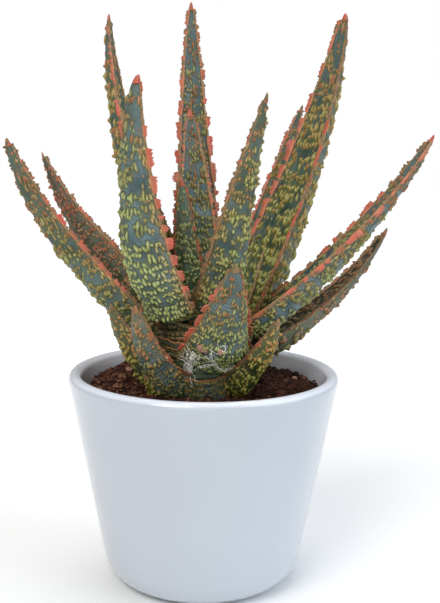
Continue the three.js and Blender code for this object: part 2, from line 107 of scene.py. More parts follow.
# One row for each leaf, from the heart outwards (the stub at the soil has no solid of its own):
# name: azimuth, foot height, foot radius, length, rise at foot, rise at tip, sweep, width, twist,
#       bend, look, (margin strength on the + side, - side), (how coral the margin is, same sides)
LEAVES = {
    "heart": (325, 136, 3, 26, 80, 86, 0, 13, 0, 1.0, "deep", (0.5, 0.5), (0.7, 0.7)),
    "young": (205, 126, 2, 74, 75, 88, 3, 17, 15, 1.0, "deep", (0.6, 0.6), (0.95, 0.95)),
    "inner_back": (104, 122, 5, 115, 80, 74, 4, 29, 7, 0.8, "slate", (0.45, 0.45), (0.75, 0.8)),
    "front_right": (296, 125, 8, 120, 79, 64, 11, 26, 33, 0.55, "dusk", (0.5, 0.45), (0.45, 0.3)),
    "tall_left": (157, 134, 7, 152, 65, 86, 5, 29, 9, 1.7, "moss", (0.6, 0.8), (0.3, 0.85)),
    "tall_back": (97, 120, 8, 179, 64, 85, 5, 29, 21, 1.15, "slate", (1.0, 1.0), (0.84, 0.88)),
    "broad_left": (225, 138.5, 22.5, 109.5, 64.5, 93, 3, 30.2, -30, 0.95, "slate", (0.5, 1.0), (0.5, 1.0)),
    "tall_right": (34, 120, 9, 183, 57, 76, -1, 35, 4, 1.4, "moss", (0.45, 1.0), (0.72, 0.95)),
    "back_left": (146, 126, 9, 127.5, 31, 65, 11, 35, 22, 1.85, "russet", (0.7, 0.9), (0.5, 0.75)),
    "far_right": (353, 123, 10, 139.5, 36, 57, 6, 23, 15, 1.3, "slate", (0.9, 1.0), (0.8, 0.75)),
    "far_left": (176, 119, 10, 133.5, 37, 73, 3, 23, 66, 2.1, "dusk", (0.9, 0.9), (0.15, 0.8)),
    "back_right": (53, 114, 9, 145, 56, 63, -5, 23, -2, 1.05, "moss", (0.05, 0.9), (0.0, 0.92)),
    "back_middle": (122, 112, 9, 84, 44, 66, 0, 25, 0, 1.2, "moss", (0.8, 0.8), (0.8, 0.8)),
    # low_right's umber look has a near-black ground that is painted shade
    "low_right": (14, 112, 10, 109, 21, 56, 2, 23, 5, 1.35, "umber", (0.6, 0.6), (0.4, 0.35)),
    "front": (284, 119, 20.2, 51, 51.5, 66, 9.5, 33.4, 19, 0.92, "slate", (1.0, 1.0), (1.0, 1.0)),
    "low_left_front": (226, 101, 9, 58, 18, 78, 3, 26, 3, 1.0, "olive", (0.6, 0.6), (0.6, 0.6)),
    "low_right_front": (314, 101, 9, 55, 20, 66, 0, 22, -1, 1.05, "lime", (0.6, 0.6), (0.5, 0.5)),
    "low_left": (201, 103, 9, 55, 22, 65, 1, 28, 4, 0.95, "lime", (0.5, 0.5), (0.5, 0.5)),
    "low_back_left": (125, 102, 9, 58, 22, 66, 0, 24, 0, 1.1, "olive", (0.5, 0.5), (0.6, 0.6)),
    "low_back_right": (76, 102, 9, 60, 22, 64, 0, 24, 0, 1.1, "olive", (0.5, 0.5), (0.6, 0.6)),
    "stub": (222, 97, 27, 15, 38, 52, 0, 9, 0, 1.0, "stub", (0.4, 0.4), (0.1, 0.1)),
}
LEAF_KEYS = "azimuth foot_z foot_r length rise0 rise1 sweep width twist bend look strength coral".split()

# taper: power by which the width falls to the tip; roll: turn about the leaf's own axis at the foot;
# spot_scale and spot_share: size and number of spots; furrows: how clear the cross furrows are, in relief
# and in the painted shade along them; blush: redder (+) or greener (-) spots; flare: how far the flanges
# of the + and - side turn over the upper face; tip: how coral the horny end is.
USUAL = dict(taper=0.64, roll=0, spot_scale=1.0, spot_share=1.0, furrows=0.15, blush=0.0, flare=(12, 12), tip=0.4)
TRAITS = {
    "young": dict(roll=52, blush=-0.2, tip=0.95),
    "inner_back": dict(blush=0.12, tip=1.0),
    "front_right": dict(spot_scale=0.92, blush=-0.15, flare=(38, -30), tip=0.5),
    "tall_left": dict(flare=(12, -42), tip=0.5),
    "tall_back": dict(blush=0.15, flare=(12, -8), tip=0.5),
    "broad_left": dict(taper=0.5, spot_scale=1.12, blush=-0.08, flare=(12, 30), tip=1.0),
    "tall_right": dict(taper=0.55, blush=-0.05, flare=(12, 30), tip=0.7),
    "back_left": dict(taper=0.85, roll=42, blush=0.2, flare=(-25, 55)),
    "far_right": dict(taper=0.58, blush=0.22, flare=(-42, 50), tip=0.6),
    "far_left": dict(taper=0.56, blush=0.2, flare=(-45, 40), tip=0.55),
    "back_right": dict(flare=(-50, 30), tip=0.55),
    "low_right": dict(taper=0.62, spot_share=0.7, flare=(12, 40)),
    "front": dict(spot_scale=0.78, spot_share=0.88, furrows=1.0, flare=(8, -38), tip=0.2),
    "low_left_front": dict(spot_scale=0.7, spot_share=0.62, furrows=1.0, tip=0.35),
    "low_right_front": dict(furrows=0.5, tip=0.3),
    "low_left": dict(spot_share=0.8, furrows=0.6, tip=0.3),
}

# Toothed flanges that stand out clearly: leaf and side, then start and end in thousandths of the
# leaf's length and height in tenths of a mm.
FLANGES = {
    ("tall_back", -1): "355-382-29 400-437-28 458-492-28 515-557-26 585-642-21 660-707-20 730-787-16",
    ("tall_back", 1): "375-407-29 425-442-25 465-527-24 545-607-29 635-667-22 700-722-15",
    ("broad_left", -1): "10-50-26 65-125-29 145-200-32 220-270-32 290-345-33 365-400-30 "
                        "420-440-24 465-510-29 525-600-29 630-710-27 750-800-19 920-980-12",
    ("front", 1): "0-120-22 140-340-28 360-500-26 530-620-27 650-720-24",
    ("front", -1): "0-130-29 140-300-30 310-520-27 540-700-20",
    ("tall_right", -1): "200-300-20 317-370-24 375-435-26 445-490-24 498-542-26 "
                        "553-620-32 640-690-24 705-765-24 810-857-20 880-940-13",
    ("tall_right", 1): "200-340-6 357-435-7 475-520-12 540-607-15 635-690-15 830-870-16 900-950-12",
    ("tall_left", -1): "570-655-20 665-725-19 770-810-15",
    ("far_right", 1): "180-220-8 240-310-14 335-360-18 370-430-26 435-455-12 480-520-22 "
                      "530-600-28 630-650-14 660-710-22 750-770-9 800-860-15",
    ("far_right", -1): "300-350-18 370-400-22 420-490-24 500-550-30 565-610-22 "
                       "630-700-28 715-750-20 770-800-16 830-870-14",
    ("far_left", 1): "240-300-15 315-380-19 400-470-22 490-570-24 585-640-20 665-720-16 760-800-12",
    ("low_left", -1): "100-250-14 300-450-18 500-640-16",
    ("low_left_front", -1): "30-200-10 240-400-14 450-600-17 660-800-15",
}

# look: slot, size of the spots, then hex colours: dark ground, light ground, ground near the tip, spot
# low on the leaf, spot half way, spot at the tip, ground between crowded spots
LOOKS = {
    "slate": ("leaf_blue_green", 1.0, "365053 647c82 546862 a2ae5c 8a8c48 9c603e 5c6434"),
    "moss": ("leaf_blue_green", 1.35, "1a3426 445e52 546864 a0a038 a68634 ac5c3c 6e7428"),
    "dusk": ("leaf_blue_green", 1.1, "2e443e 586e6c 4c5a42 a2a84e 968a46 9e6040 62682e"),
    "deep": ("leaf_dark_green", 0.8, "3c5a44 6c8472 688070 c0ce88 a4ac6a a07c4e 62764a"),
    # The dark ground of this look is painted shade, for a leaf in the shade of others; its red-brown spots are its
    # own.
    "russet": ("leaf_dark_green", 0.95, "202a1a 38422c 423c24 968e46 a2603c ac543c 463e20"),
    "bark": ("leaf_olive", 1.0, "46482c 807a58 7a6c4a bcb874 b69662 c27856 5c5a32"),
    # The near-black ground of this look is painted shade, for a low leaf in the shade of the one above; its
    # reddish spots are its own.
    "umber": ("leaf_dark_green", 1.15, "1a1a11 323222 2e3020 928e42 9a643a a0683a 322e1a"),
    "stub": ("leaf_olive", 0.8, "546014 808424 847e28 9c9e34 968c2c 967828 64681e"),
    "olive": ("leaf_olive", 0.85, "425850 748480 6c684c a6a85c 9c864a b06842 60663c"),
    "lime": ("leaf_olive", 0.72, "2e3c1e 52603a 646236 b8be4c b0a442 b67c42 626828"),
}
UNDERSIDE = {"umber": "626c52", "russet": "464e30"}    # ground of the lower face, where it differs
# The ring of painted shade round the spots is fainter on this look:
FAINT_SPOT_SHADE = "moss"                                 # the look whose spots have a fainter dark rim

# ---- mesh helpers


def smooth(t):
    """A smooth step from 0 to 1."""
    c = np.clip(t, 0.0, 1.0)
    return c * c * (3.0 - 2.0 * c)


def unit(vectors):
    return vectors / np.maximum(np.linalg.norm(vectors, axis=-1, keepdims=True), 1e-9)


def circle(count):
    """Cosines and sines of points round a circle."""
    a = np.linspace(0, 2 * math.pi, count, endpoint=False)
    return np.cos(a), np.sin(a)


def channels(*values, ends):
    """Four values for each point of a grid, with the rows of ends for the two points that close it."""
    return np.concatenate([np.stack(np.broadcast_arrays(*values), -1).reshape(-1, 4), ends])


def make_object(name, points, quads, triangles, material, attributes=None):
    """A smooth-shaded mesh from points in mm and arrays of faces, with colour attributes per point."""
    quads = np.asarray(quads, np.int32).reshape(-1, 4)
    triangles = np.asarray(triangles, np.int32).reshape(-1, 3)
    mesh = bpy.data.meshes.new(name)
    mesh.vertices.add(len(points))
    mesh.vertices.foreach_set("co", (np.asarray(points, np.float32) * MM).ravel())
    mesh.loops.add(quads.size + triangles.size)
    mesh.loops.foreach_set("vertex_index", np.concatenate([quads.ravel(), triangles.ravel()]))
    mesh.polygons.add(len(quads) + len(triangles))
    starts = np.concatenate([np.arange(len(quads)) * 4, quads.size + np.arange(len(triangles)) * 3])
    mesh.polygons.foreach_set("loop_start", starts.astype(np.int32))
    mesh.update(calc_edges=True)
    mesh.validate()
    for key, values in (attributes or {}).items():
        layer = mesh.attributes.new(key, "FLOAT_COLOR", "POINT")
        layer.data.foreach_set("color", np.asarray(values, np.float32).ravel())
    mesh.polygons.foreach_set("use_smooth", np.ones(len(mesh.polygons), bool))
    mesh.materials.append(material)
    piece = bpy.data.objects.new(name, mesh)
    bpy.context.scene.collection.objects.link(piece)
    return piece


def settle(piece, solid=None):
    """What every piece needs: its body, the solid that it stands for."""
    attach(piece, "root")
    if solid:
        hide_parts(solid)


class Parts:
    """Points, faces and colours of several shells that become one mesh."""

    def __init__(self):
        self.points, self.quads, self.triangles, self.colours = [], [], [], []
        self.count = 0

    def add(self, points, quads, triangles, colours):
        """Colours are one row for each point, or one row for all of them."""
        self.points.append(points)
        self.quads.append(np.asarray(quads, int).reshape(-1, 4) + self.count)
        self.triangles.append(np.asarray(triangles, int).reshape(-1, 3) + self.count)
        self.colours.append(np.broadcast_to(colours, (len(points), 4)))
        self.count += len(points)

    def build(self, name, material, attribute):
        points, quads, triangles, colours = map(
            np.concatenate, (self.points, self.quads, self.triangles, self.colours)
        )
        return make_object(name, points, quads, triangles, material, {attribute: colours})


def closed_tube(grid):
    """(points, quads, triangles) of a tube closed with a fan at both ends; grid is rows x columns x 3,
    and each row goes counterclockwise seen from row 0."""
    rows, columns = grid.shape[:2]
    points = np.concatenate([grid.reshape(-1, 3), grid[0].mean(0)[None], grid[-1].mean(0)[None]])
    c = np.arange(columns)
    n = (c + 1) % columns
    start = (np.arange(rows - 1) * columns)[:, None]
    quads = np.stack([start + c, start + columns + c, start + columns + n, start + n], -1).reshape(-1, 4)
    first, last, top = np.full(columns, rows * columns), np.full(columns, rows * columns + 1), (rows - 1) * columns
    fans = np.concatenate([np.stack([first, c, n], 1), np.stack([last, top + n, top + c], 1)])
    return points, quads, fans


def lathe(profile, segments):
    """(points, quads, triangles) of a solid of revolution; the profile is (radius, height), axis to axis."""
    profile = np.asarray(profile, float)
    ring = np.stack([*circle(segments), np.zeros(segments)], -1)
    grid = profile[1:-1, 0, None, None] * ring + profile[1:-1, 1, None, None] * np.array([0, 0, 1.0])
    points, quads, fans = closed_tube(grid[:, ::-1])
    points[-2:] = [[0, 0, profile[0, 1]], [0, 0, profile[-1, 1]]]
    return points, quads, fans


def sections(centre, across, over, xs, ys):
    """A grid with the section (xs, ys) at each centre."""
    return centre[:, None] + across[:, None] * xs[..., None] + over[:, None] * ys[..., None]


def waves(x, seed, periods, sizes):
    """A sum of sines along x, for slow irregularity."""
    random = np.random.default_rng(seed)
    total = np.zeros_like(x, dtype=float)
    for period, size in zip(periods, sizes):
        total += size * np.sin(2 * math.pi * x / period + random.uniform(*ANY_PHASE))
    return total


# ---- materials


def linear(colour):
    """A hex colour as the linear values that a shader takes; a socket stays as it is."""
    if isinstance(colour, bpy.types.NodeSocket):
        return colour
    shares = [c / 255 for c in bytes.fromhex(colour)]
    return (*(c / 12.92 if c <= 0.04045 else ((c + 0.055) / 1.055) ** 2.4 for c in shares), 1.0)


class Shader:
    """A material with a Principled shader, and short calls for its nodes."""

    def __init__(self, name, **fixed):
        """Fixed values go to the inputs of the same name, written in lower case with underscores."""
        self.material = bpy.data.materials.new(name)
        self.material.use_nodes = True
        self.tree = self.material.node_tree
        self.bsdf = next(n for n in self.tree.nodes if n.type == "BSDF_PRINCIPLED")
        for key, value in fixed.items():
            self.set(key.title().replace("_", " ").replace("Ior", "IOR"), value)

    def put(self, socket, value):
        if isinstance(value, bpy.types.NodeSocket):
            self.tree.links.new(value, socket)
        else:
            socket.default_value = value

    def set(self, name, value):
        self.put(self.bsdf.inputs[name], value)

    def node(self, kind, inputs, output=0, **settings):
        """The output socket of a new node with these settings and inputs."""
        n = self.tree.nodes.new(kind)
        for key, value in settings.items():
            setattr(n, key, value)
        for key, value in inputs.items():
            self.put(n.inputs[key], value)
        return n.outputs[output]

    def math(self, operation, *values):
        return self.node("ShaderNodeMath", dict(enumerate(values)), operation=operation)

    def times(self, a, b):
        return self.math("MULTIPLY", a, b)

    def span(self, value, low, high, to_low=0.0, to_high=1.0):
        """A smooth step over the value from low to high."""
        inputs = {"Value": value, "From Min": low, "From Max": high, "To Min": to_low, "To Max": to_high}
        return self.node("ShaderNodeMapRange", inputs, "Result", interpolation_type="SMOOTHSTEP")

    def mix(self, share, a, b):
        return self.node("ShaderNodeMix", {0: share, 6: linear(a), 7: linear(b)}, 2, data_type="RGBA")

    def coats(self, colour, *coats):
        """Coats of (share, colour), laid one after another over the first colour."""
        for share, coat in coats:
            colour = self.mix(share, colour, coat)
        return colour

    def ramp(self, value, *stops):
        n = self.tree.nodes.new("ShaderNodeValToRGB")
        while len(n.color_ramp.elements) < len(stops):
            n.color_ramp.elements.new(0.5)
        for e, (place, colour) in zip(n.color_ramp.elements, stops):
            e.position, e.color = place, linear(colour)
        self.put(n.inputs[0], value)
        return n.outputs[0]

    def noise(self, scale, detail=2.0, roughness=0.5, stretch=(1, 1, 1)):
        place = self.node("ShaderNodeTexCoord", {}, "Object")
        place = self.node("ShaderNodeMapping", {"Vector": place, "Scale": stretch})
        return self.node("ShaderNodeTexNoise", {"Vector": place, "Scale": scale, "Detail": detail,
                                                "Roughness": roughness})

    def bump(self, height, strength, distance, under=None):
        inputs = {"Strength": strength, "Distance": distance, "Height": height}
        return self.node("ShaderNodeBump", inputs if under is None else {**inputs, "Normal": under})

    def attribute(self, name):
        """The four channels of a colour attribute."""
        a = self.tree.nodes.new("ShaderNodeAttribute")
        a.attribute_name = name
        s = self.tree.nodes.new("ShaderNodeSeparateColor")
        self.tree.links.new(a.outputs["Color"], s.inputs[0])
        return s.outputs[0], s.outputs[1], s.outputs[2], a.outputs["Alpha"]


def leaf_material(look):
    """Mottled ground that turns brown towards the tip, and spots that go from green to red along the leaf, with
    painted shade round the spots, on their rims and in the cross furrows, and a painted highlight on their cores.
    """
    dark, light, tip, spot_low, spot_mid, spot_tip, between = LOOKS[look][2].split()
    m = Shader("leaf_" + look, specular_ior_level=0.5)
    spot, tint, along, edge = m.attribute("leafmap")
    crowd, under, furrow, _ = m.attribute("crowdmap")
    broad, blotch = m.noise(70.0, 3.0, 0.6), m.noise(190.0, 3.0, 0.6)
    fine, grit = m.noise(900.0, 3.0, 0.65), m.noise(2600.0, 2.0, 0.6)
    ground = m.mix(m.span(broad, 0.38, 0.62), dark, light)
    if look in UNDERSIDE:
        ground = m.mix(m.times(under, 0.85), ground, UNDERSIDE[look])
    # painted shade: a dark ring round each raised spot; outline is how dark it is for each look
    painted_spot_shade = m.times(m.span(spot, 0.0, 0.12), m.span(spot, 0.36, 0.18))
    outline = 0.4 if look == FAINT_SPOT_SHADE else 0.8
    ground = m.coats(
        ground,
        (m.span(along, 0.45, 1.0, 0.0, 0.75), tip),
        (m.times(m.span(crowd, 0.15, 0.6, 0.0, 0.68), m.span(blotch, 0.34, 0.56, 0.25, 1.0)), between),
        (m.times(m.span(along, 0.3, 0.95, 0.0, 0.56), m.span(blotch, 0.5, 0.66)), "704a2c"),
        (m.span(edge, 0.90, 1.0, 0.0, 0.4), "887642"),
        (m.span(fine, 0.42, 0.62, 0.0, 0.3), "1c2a24"),
        # painted shade in the cross furrows
        (m.times(furrow, 0.42), "222e22"),
        # the ring of painted shade round the spots
        (m.times(painted_spot_shade, m.span(along, 0.0, 0.8, outline, 0.6 * outline)), "222c14"),
    )
    shift = -0.46
    for value, weight in ((along, 0.85), (tint, 0.62), (broad, 0.3)):
        shift = m.math("MULTIPLY_ADD", value, weight, shift)
    # painted highlight: a pale core on each spot, stronger low on the leaf
    painted_highlight = m.times(m.span(spot, 0.45, 0.95), m.span(along, 0.02, 0.6, 0.75, 0.35))
    colour = m.coats(
        spot_low,
        (m.span(shift, 0.14, 0.52), spot_mid),
        (m.span(shift, 0.50, 0.92), spot_tip),
        (m.span(edge, 0.7, 1.0, 0.0, 0.45), "bc7446"),
        # painted shade: the rim of each spot is darkened towards an olive
        (m.span(spot, 0.6, 0.26, 0.0, 0.6), m.mix(0.6, ground, "746830")),
        # the painted highlight on the spot cores
        (m.times(painted_highlight, m.span(tint, 0.85, 0.3)), "d6dcb6"),
        (m.span(fine, 0.38, 0.62, 0.0, 0.27), "4e4c22"),
    )
    m.set("Base Color", m.mix(m.span(spot, 0.12, 0.5), ground, colour))
    m.set("Roughness", m.span(fine, 0.3, 0.7, 0.3, 0.46))
    m.set("Normal", m.bump(grit, 0.35, 0.0004, m.bump(fine, 0.35, 0.0006)))
    return m.material


def coral_material():
    """Coral flanges, dull olive and brown where the margin has none or where the coral has faded."""
    m = Shader("coral_margin", roughness=0.42, specular_ior_level=0.45, subsurface_weight=0.12,
               subsurface_radius=(0.004, 0.0015, 0.001), subsurface_scale=0.3)
    band, tint, coral, height = m.attribute("marginmap")
    fine, blotch, patch = m.noise(900.0, 2.0, 0.6), m.noise(420.0, 3.0, 0.6), m.noise(190.0)
    bright = m.mix(tint, "c85040", "c86c50")
    share = m.times(m.span(band, 0.15, 0.6), m.span(coral, 0.15, 0.75))
    faded = m.math("MAXIMUM", m.span(patch, 0.44, 0.54), m.span(coral, 0.75, 1.0, 0.1, 0.8))
    crest = m.times(m.span(height, 0.45, 0.85, 0.0, 0.85), m.span(tint, 0.5, 0.6))
    m.set("Base Color", m.coats(
        "8c6e42",
        (m.span(tint, 0.2, 0.8), "64623a"),
        (m.span(blotch, 0.44, 0.62, 0.0, 0.8), "4a563e"),
        (m.times(share, faded), bright),
        (m.span(height, 0.45, 0.0, 0.0, 0.275), "cea876"),
        (m.times(crest, m.span(coral, 0.95, 0.6)), "7c5834"),
        # painted light: the thin crest of each flange is made paler, as light shining through it would
        (m.span(height, 0.6, 1.0, 0.0, 0.15), "ec967c"),
        (m.span(fine, 0.4, 0.7, 0.0, 0.33), "703222"),
    ))
    m.set("Normal", m.bump(fine, 0.3, 0.0004))
    return m.material


def glaze_material():
    m = Shader("white_glaze", specular_ior_level=0.5, coat_weight=0.6, coat_roughness=0.06)
    # The outer glaze is grey-blue, a painted shade on white glaze; the map mixes in near-white, a painted light,
    # on the inner wall and lip top.
    outside = m.mix(m.span(m.noise(9.0), 0.3, 0.7), "b5bcc5", "bbc2cb")
    m.set("Base Color", m.mix(m.attribute("glazemap")[0], outside, "f0f3ff"))
    m.set("Roughness", m.span(m.noise(120.0, 3.0, 0.6), 0.3, 0.7, 0.10, 0.17))
    m.set("Normal", m.bump(m.noise(16.0), 0.12, 0.001))
    return m.material


def soil_material():
    m = Shader("peat_soil", roughness=0.92, specular_ior_level=0.2)
    colour = m.ramp(m.noise(260.0, 5.0, 0.7), (0.28, "1a0c08"), (0.5, "3a2018"), (0.72, "6c4634"))
    m.set("Base Color", m.mix(m.span(m.noise(45.0, 3.0, 0.6), 0.35, 0.7, 0.0, 0.33), colour, "1e0e0c"))
    m.set("Normal", m.bump(m.noise(1400.0, 4.0, 0.7), 0.8, 0.0006))
    return m.material


def crumb_material():
    m = Shader("peat_crumbs", roughness=0.9, specular_ior_level=0.2)
    tint, pale = m.attribute("crumbmap")[:2]
    m.set("Base Color", m.coats(
        m.ramp(tint, (0.0, "220f0a"), (0.4, "522e21"), (0.8, "845842"), (1.0, "a67a60")),
        (pale, "cea08c"),
        (m.span(m.noise(1500.0, 3.0, 0.7), 0.3, 0.7, 0.0, 0.6), "1e0f0b"),
    ))
    return m.material


def stem_material():
    m = Shader("stem_bark", roughness=0.8)
    rings = m.noise(300.0, 4.0, 0.6, (0.4, 0.4, 2.5))
    m.set("Base Color", m.ramp(rings, (0.3, "605830"), (0.7, "9a9458")))
    m.set("Normal", m.bump(rings, 0.5, 0.0008))
    return m.material


def plain_material(name, roughness, scale, a, b):
    m = Shader(name, roughness=roughness)
    m.set("Base Color", m.mix(m.noise(scale), a, b))
    return m.material


LEAF_MATERIALS = {look: leaf_material(look) for look in LOOKS}
CORAL = coral_material()
GLAZE = glaze_material()
PEAT = soil_material()
CRUMBS = crumb_material()
BARK = stem_material()
THREAD = plain_material("pale_thread", 0.9, 900.0, "fcfaf6", "e4ded4")
PAPER = plain_material("pale_floor", 0.7, 3.0, "fafafa", "fcfcfc")

# ---- leaf form; s goes from 0 at the foot to 1 at the tip, u from -1 to 1 across, x is s in mm


def read_leaf(index, name):
    """A leaf's row, its own traits and what its look gives."""
    leaf = SimpleNamespace(index=index, name=name, **{**USUAL, **TRAITS.get(name, {})})
    vars(leaf).update(zip(LEAF_KEYS, LEAVES[name]))
    leaf.slot, leaf.spot_size = LOOKS[leaf.look][:2]
    leaf.end = 1 - TIP_LENGTH / leaf.length * min(1.0, leaf.length / 90)    # s where the horny end starts
    turn = math.radians(leaf.azimuth)
    leaf.out = np.array([math.cos(turn), math.sin(turn), 0.0])
    return leaf


def leaf_axes(leaf, s):
    """Directions at each s: along the leaf, over its upper face, across from edge to edge."""
    rise = np.radians(leaf.rise0 + (leaf.rise1 - leaf.rise0) * np.clip(s, 0, None) ** leaf.bend)[..., None]
    turn = np.radians(leaf.azimuth + leaf.sweep * s)
    out = np.stack([np.cos(turn), np.sin(turn), np.zeros_like(s)], -1)
    up = np.array([0.0, 0.0, 1.0])
    along = out * np.cos(rise) + up * np.sin(rise)
    flat = -out * np.sin(rise) + up * np.cos(rise)
    side = np.cross(along, flat)
    roll = np.radians(leaf.roll + leaf.twist * s)[..., None]
    return along, flat * np.cos(roll) + side * np.sin(roll), side * np.cos(roll) - flat * np.sin(roll)


def leaf_line(leaf, s):
    """The points of the leaf's middle line at each s."""
    mid = (np.arange(LINE_STEPS) + 0.5) / LINE_STEPS
    walk = np.cumsum(leaf_axes(leaf, mid)[0] * leaf.length / LINE_STEPS, 0)
    foot = leaf.out * leaf.foot_r + [0, 0, leaf.foot_z]
    points = np.concatenate([foot[None], foot + walk])
    at = np.clip(s, 0, 1) * LINE_STEPS
    return np.stack([np.interp(at, np.arange(LINE_STEPS + 1), points[:, k]) for k in range(3)], -1)


def half_width(leaf, s):
    return leaf.width / 2 * np.clip(1 - s, 0, None) ** leaf.taper


def wavy_half_width(leaf, x):
    wave = waves(x, EDGE_WAVES + leaf.index, (31, 17, 9.5), (0.018, 0.014, 0.012))
    return half_width(leaf, np.clip(x / leaf.length, 0, 1)) * (1 + wave)


def leaf_spots(leaf, random, wrap):
    """Raised spots in bands that cross the leaf, with smooth stretches between them. A spot is
    (place along in mm, place across -1..1, half length, half width, height, tint, tilt, phase)."""
    spots = []

    def add(x, u, half_length, half_across, height, tint):
        tilt, phase = random.gauss(0, 0.13), random.uniform(*ANY_PHASE)
        spots.append((x, u, half_length, half_across, height, min(1, max(0, tint)), tilt, phase))

    x = -6.0
    while x < leaf.length * 0.99:
        s = max(x, 0) / leaf.length
        w = float(half_width(leaf, s)) * wrap
        open_up = float(smooth((x - 6) / 34))
        size = leaf.spot_size * leaf.spot_scale * (1.22 + 0.14 * open_up)
        rows = random.choice((2, 3, 3, 4) if x < 26 else (1, 2, 2, 3))
        pitch = 2.0 * size * (1 + 0.2 * open_up)
        column = (1.5 - 0.32 * open_up) * size
        fill = (0.93 - 0.15 * s) * leaf.spot_share * (1 - 0.6 * float(smooth((s - 0.72) / 0.2)))
        band_tint = random.gauss(0.5 + leaf.blush, 0.12)
        centre, spread = random.uniform(-0.5, 0.5), random.uniform(0.9, 1.6) + (1 - s) ** 2
        sway, bow = random.uniform(*ANY_PHASE), random.uniform(0.4, 1.5) * (0.4 + 0.6 * open_up)
        for row in range(rows):
            count = max(1, round(2 * w / column))
            phase = random.random()
            for k in range(count + 1):
                u = -1 + 2 * (k + phase - 0.5 + random.uniform(-0.2, 0.2)) / count
                if abs(u) > 0.985 or random.random() > fill * (1 - 0.4 * (abs(u - centre) / spread) ** 2):
                    continue
                place = x + (row + random.uniform(-0.28, 0.28)) * pitch + bow * math.sin(3.4 * u + sway)
                half_length = pitch * random.choice((0.27, 0.35, 0.43, 0.5 + 0.12 * open_up))
                half_across = column * random.uniform(0.32, 0.47)
                height = random.uniform(0.35, 0.8) * (1 + 0.3 * half_length)
                add(place, u, half_length, half_across, min(height, 1.1), random.gauss(band_tint, 0.24))
                if random.random() < 0.25:    # a small spot beside it
                    aside = random.choice((-1, 1)) * 0.6 * column / max(w, 1)
                    add(place + random.uniform(-1.4, 1.4), u + aside, 0.5, 0.42, 0.3, random.gauss(0.5, 0.25))
                if random.random() < 0.04 + 0.14 * open_up:    # a broad one that joins its neighbours
                    add(place, u, 1.0, 0.72, random.uniform(1.0, 1.8), random.gauss(0.8, 0.15))
        gap = random.uniform(0.2, 1.4) + random.uniform(0.3, 3.6) * float(smooth((s - 0.02) / 0.3))
        for k in range(int(gap * w * 0.3 * random.random() * 2)):
            add(x + rows * pitch + random.uniform(0, gap) - 1, random.uniform(-0.95, 0.95),
                random.uniform(0.5, 1.2), random.uniform(0.4, 0.6), 0.3, random.gauss(0.6, 0.25))
        x += rows * pitch + gap
    return spots


def paint_spots(spots, x, u, w, wrap):
    """Spot mask, height and tint on a grid of rows x (mm) and columns u, for half widths w."""
    mask, lift = np.zeros((2, len(x), len(u)))
    tint = np.full_like(mask, 0.5)
    order = np.argsort(u)
    ordered = u[order]
    for place, at, half_length, half_across, height, colour, tilt, phase in spots:
        reach = 1.5 * half_length + 0.3
        r0, r1 = np.searchsorted(x, [place - reach, place + reach])
        here = w[min((r0 + r1) // 2, len(w) - 1)] * wrap
        if r1 <= r0 or here < 0.9:
            continue
        span = (1.5 * half_across + 0.3) / here
        c0, c1 = np.searchsorted(ordered, [at - span, at + span])
        if c1 <= c0:
            continue
        columns = order[c0:c1]
        window = (slice(r0, r1), slice(columns.min(), columns.max() + 1))
        dx = (x[window[0]] - place)[:, None]
        dy = (u[window[1]] - at)[None] * w[window[0], None] * wrap
        a = (dx + dy * tilt) / half_length
        b = (dy - dx * tilt) / half_across
        angle = np.arctan2(b, a)
        wobble = 1 + 0.13 * np.sin(2 * angle + phase) + 0.10 * np.sin(3 * angle - 2 * phase)
        r = (np.abs(a) ** 2.3 + np.abs(b) ** 2.3) ** (1 / 2.3) / wobble
        value = np.clip(1.45 - r, 0, None) / 1.45
        better = value > mask[window]
        mask[window] = np.where(better, value, mask[window])
        tint[window] = np.where(better, colour, tint[window])
        lift[window] = np.maximum(lift[window], height * smooth((1.2 - r) / 0.9))
    return mask, lift, tint


def spread_out(mask, steps):
    """The mask blurred over a few rows and columns: how crowded the spots are."""
    for axis in (0, 1):
        mask = sum(np.roll(mask, k, axis) for k in range(-steps, steps + 1)) / (2 * steps + 1)
    return mask


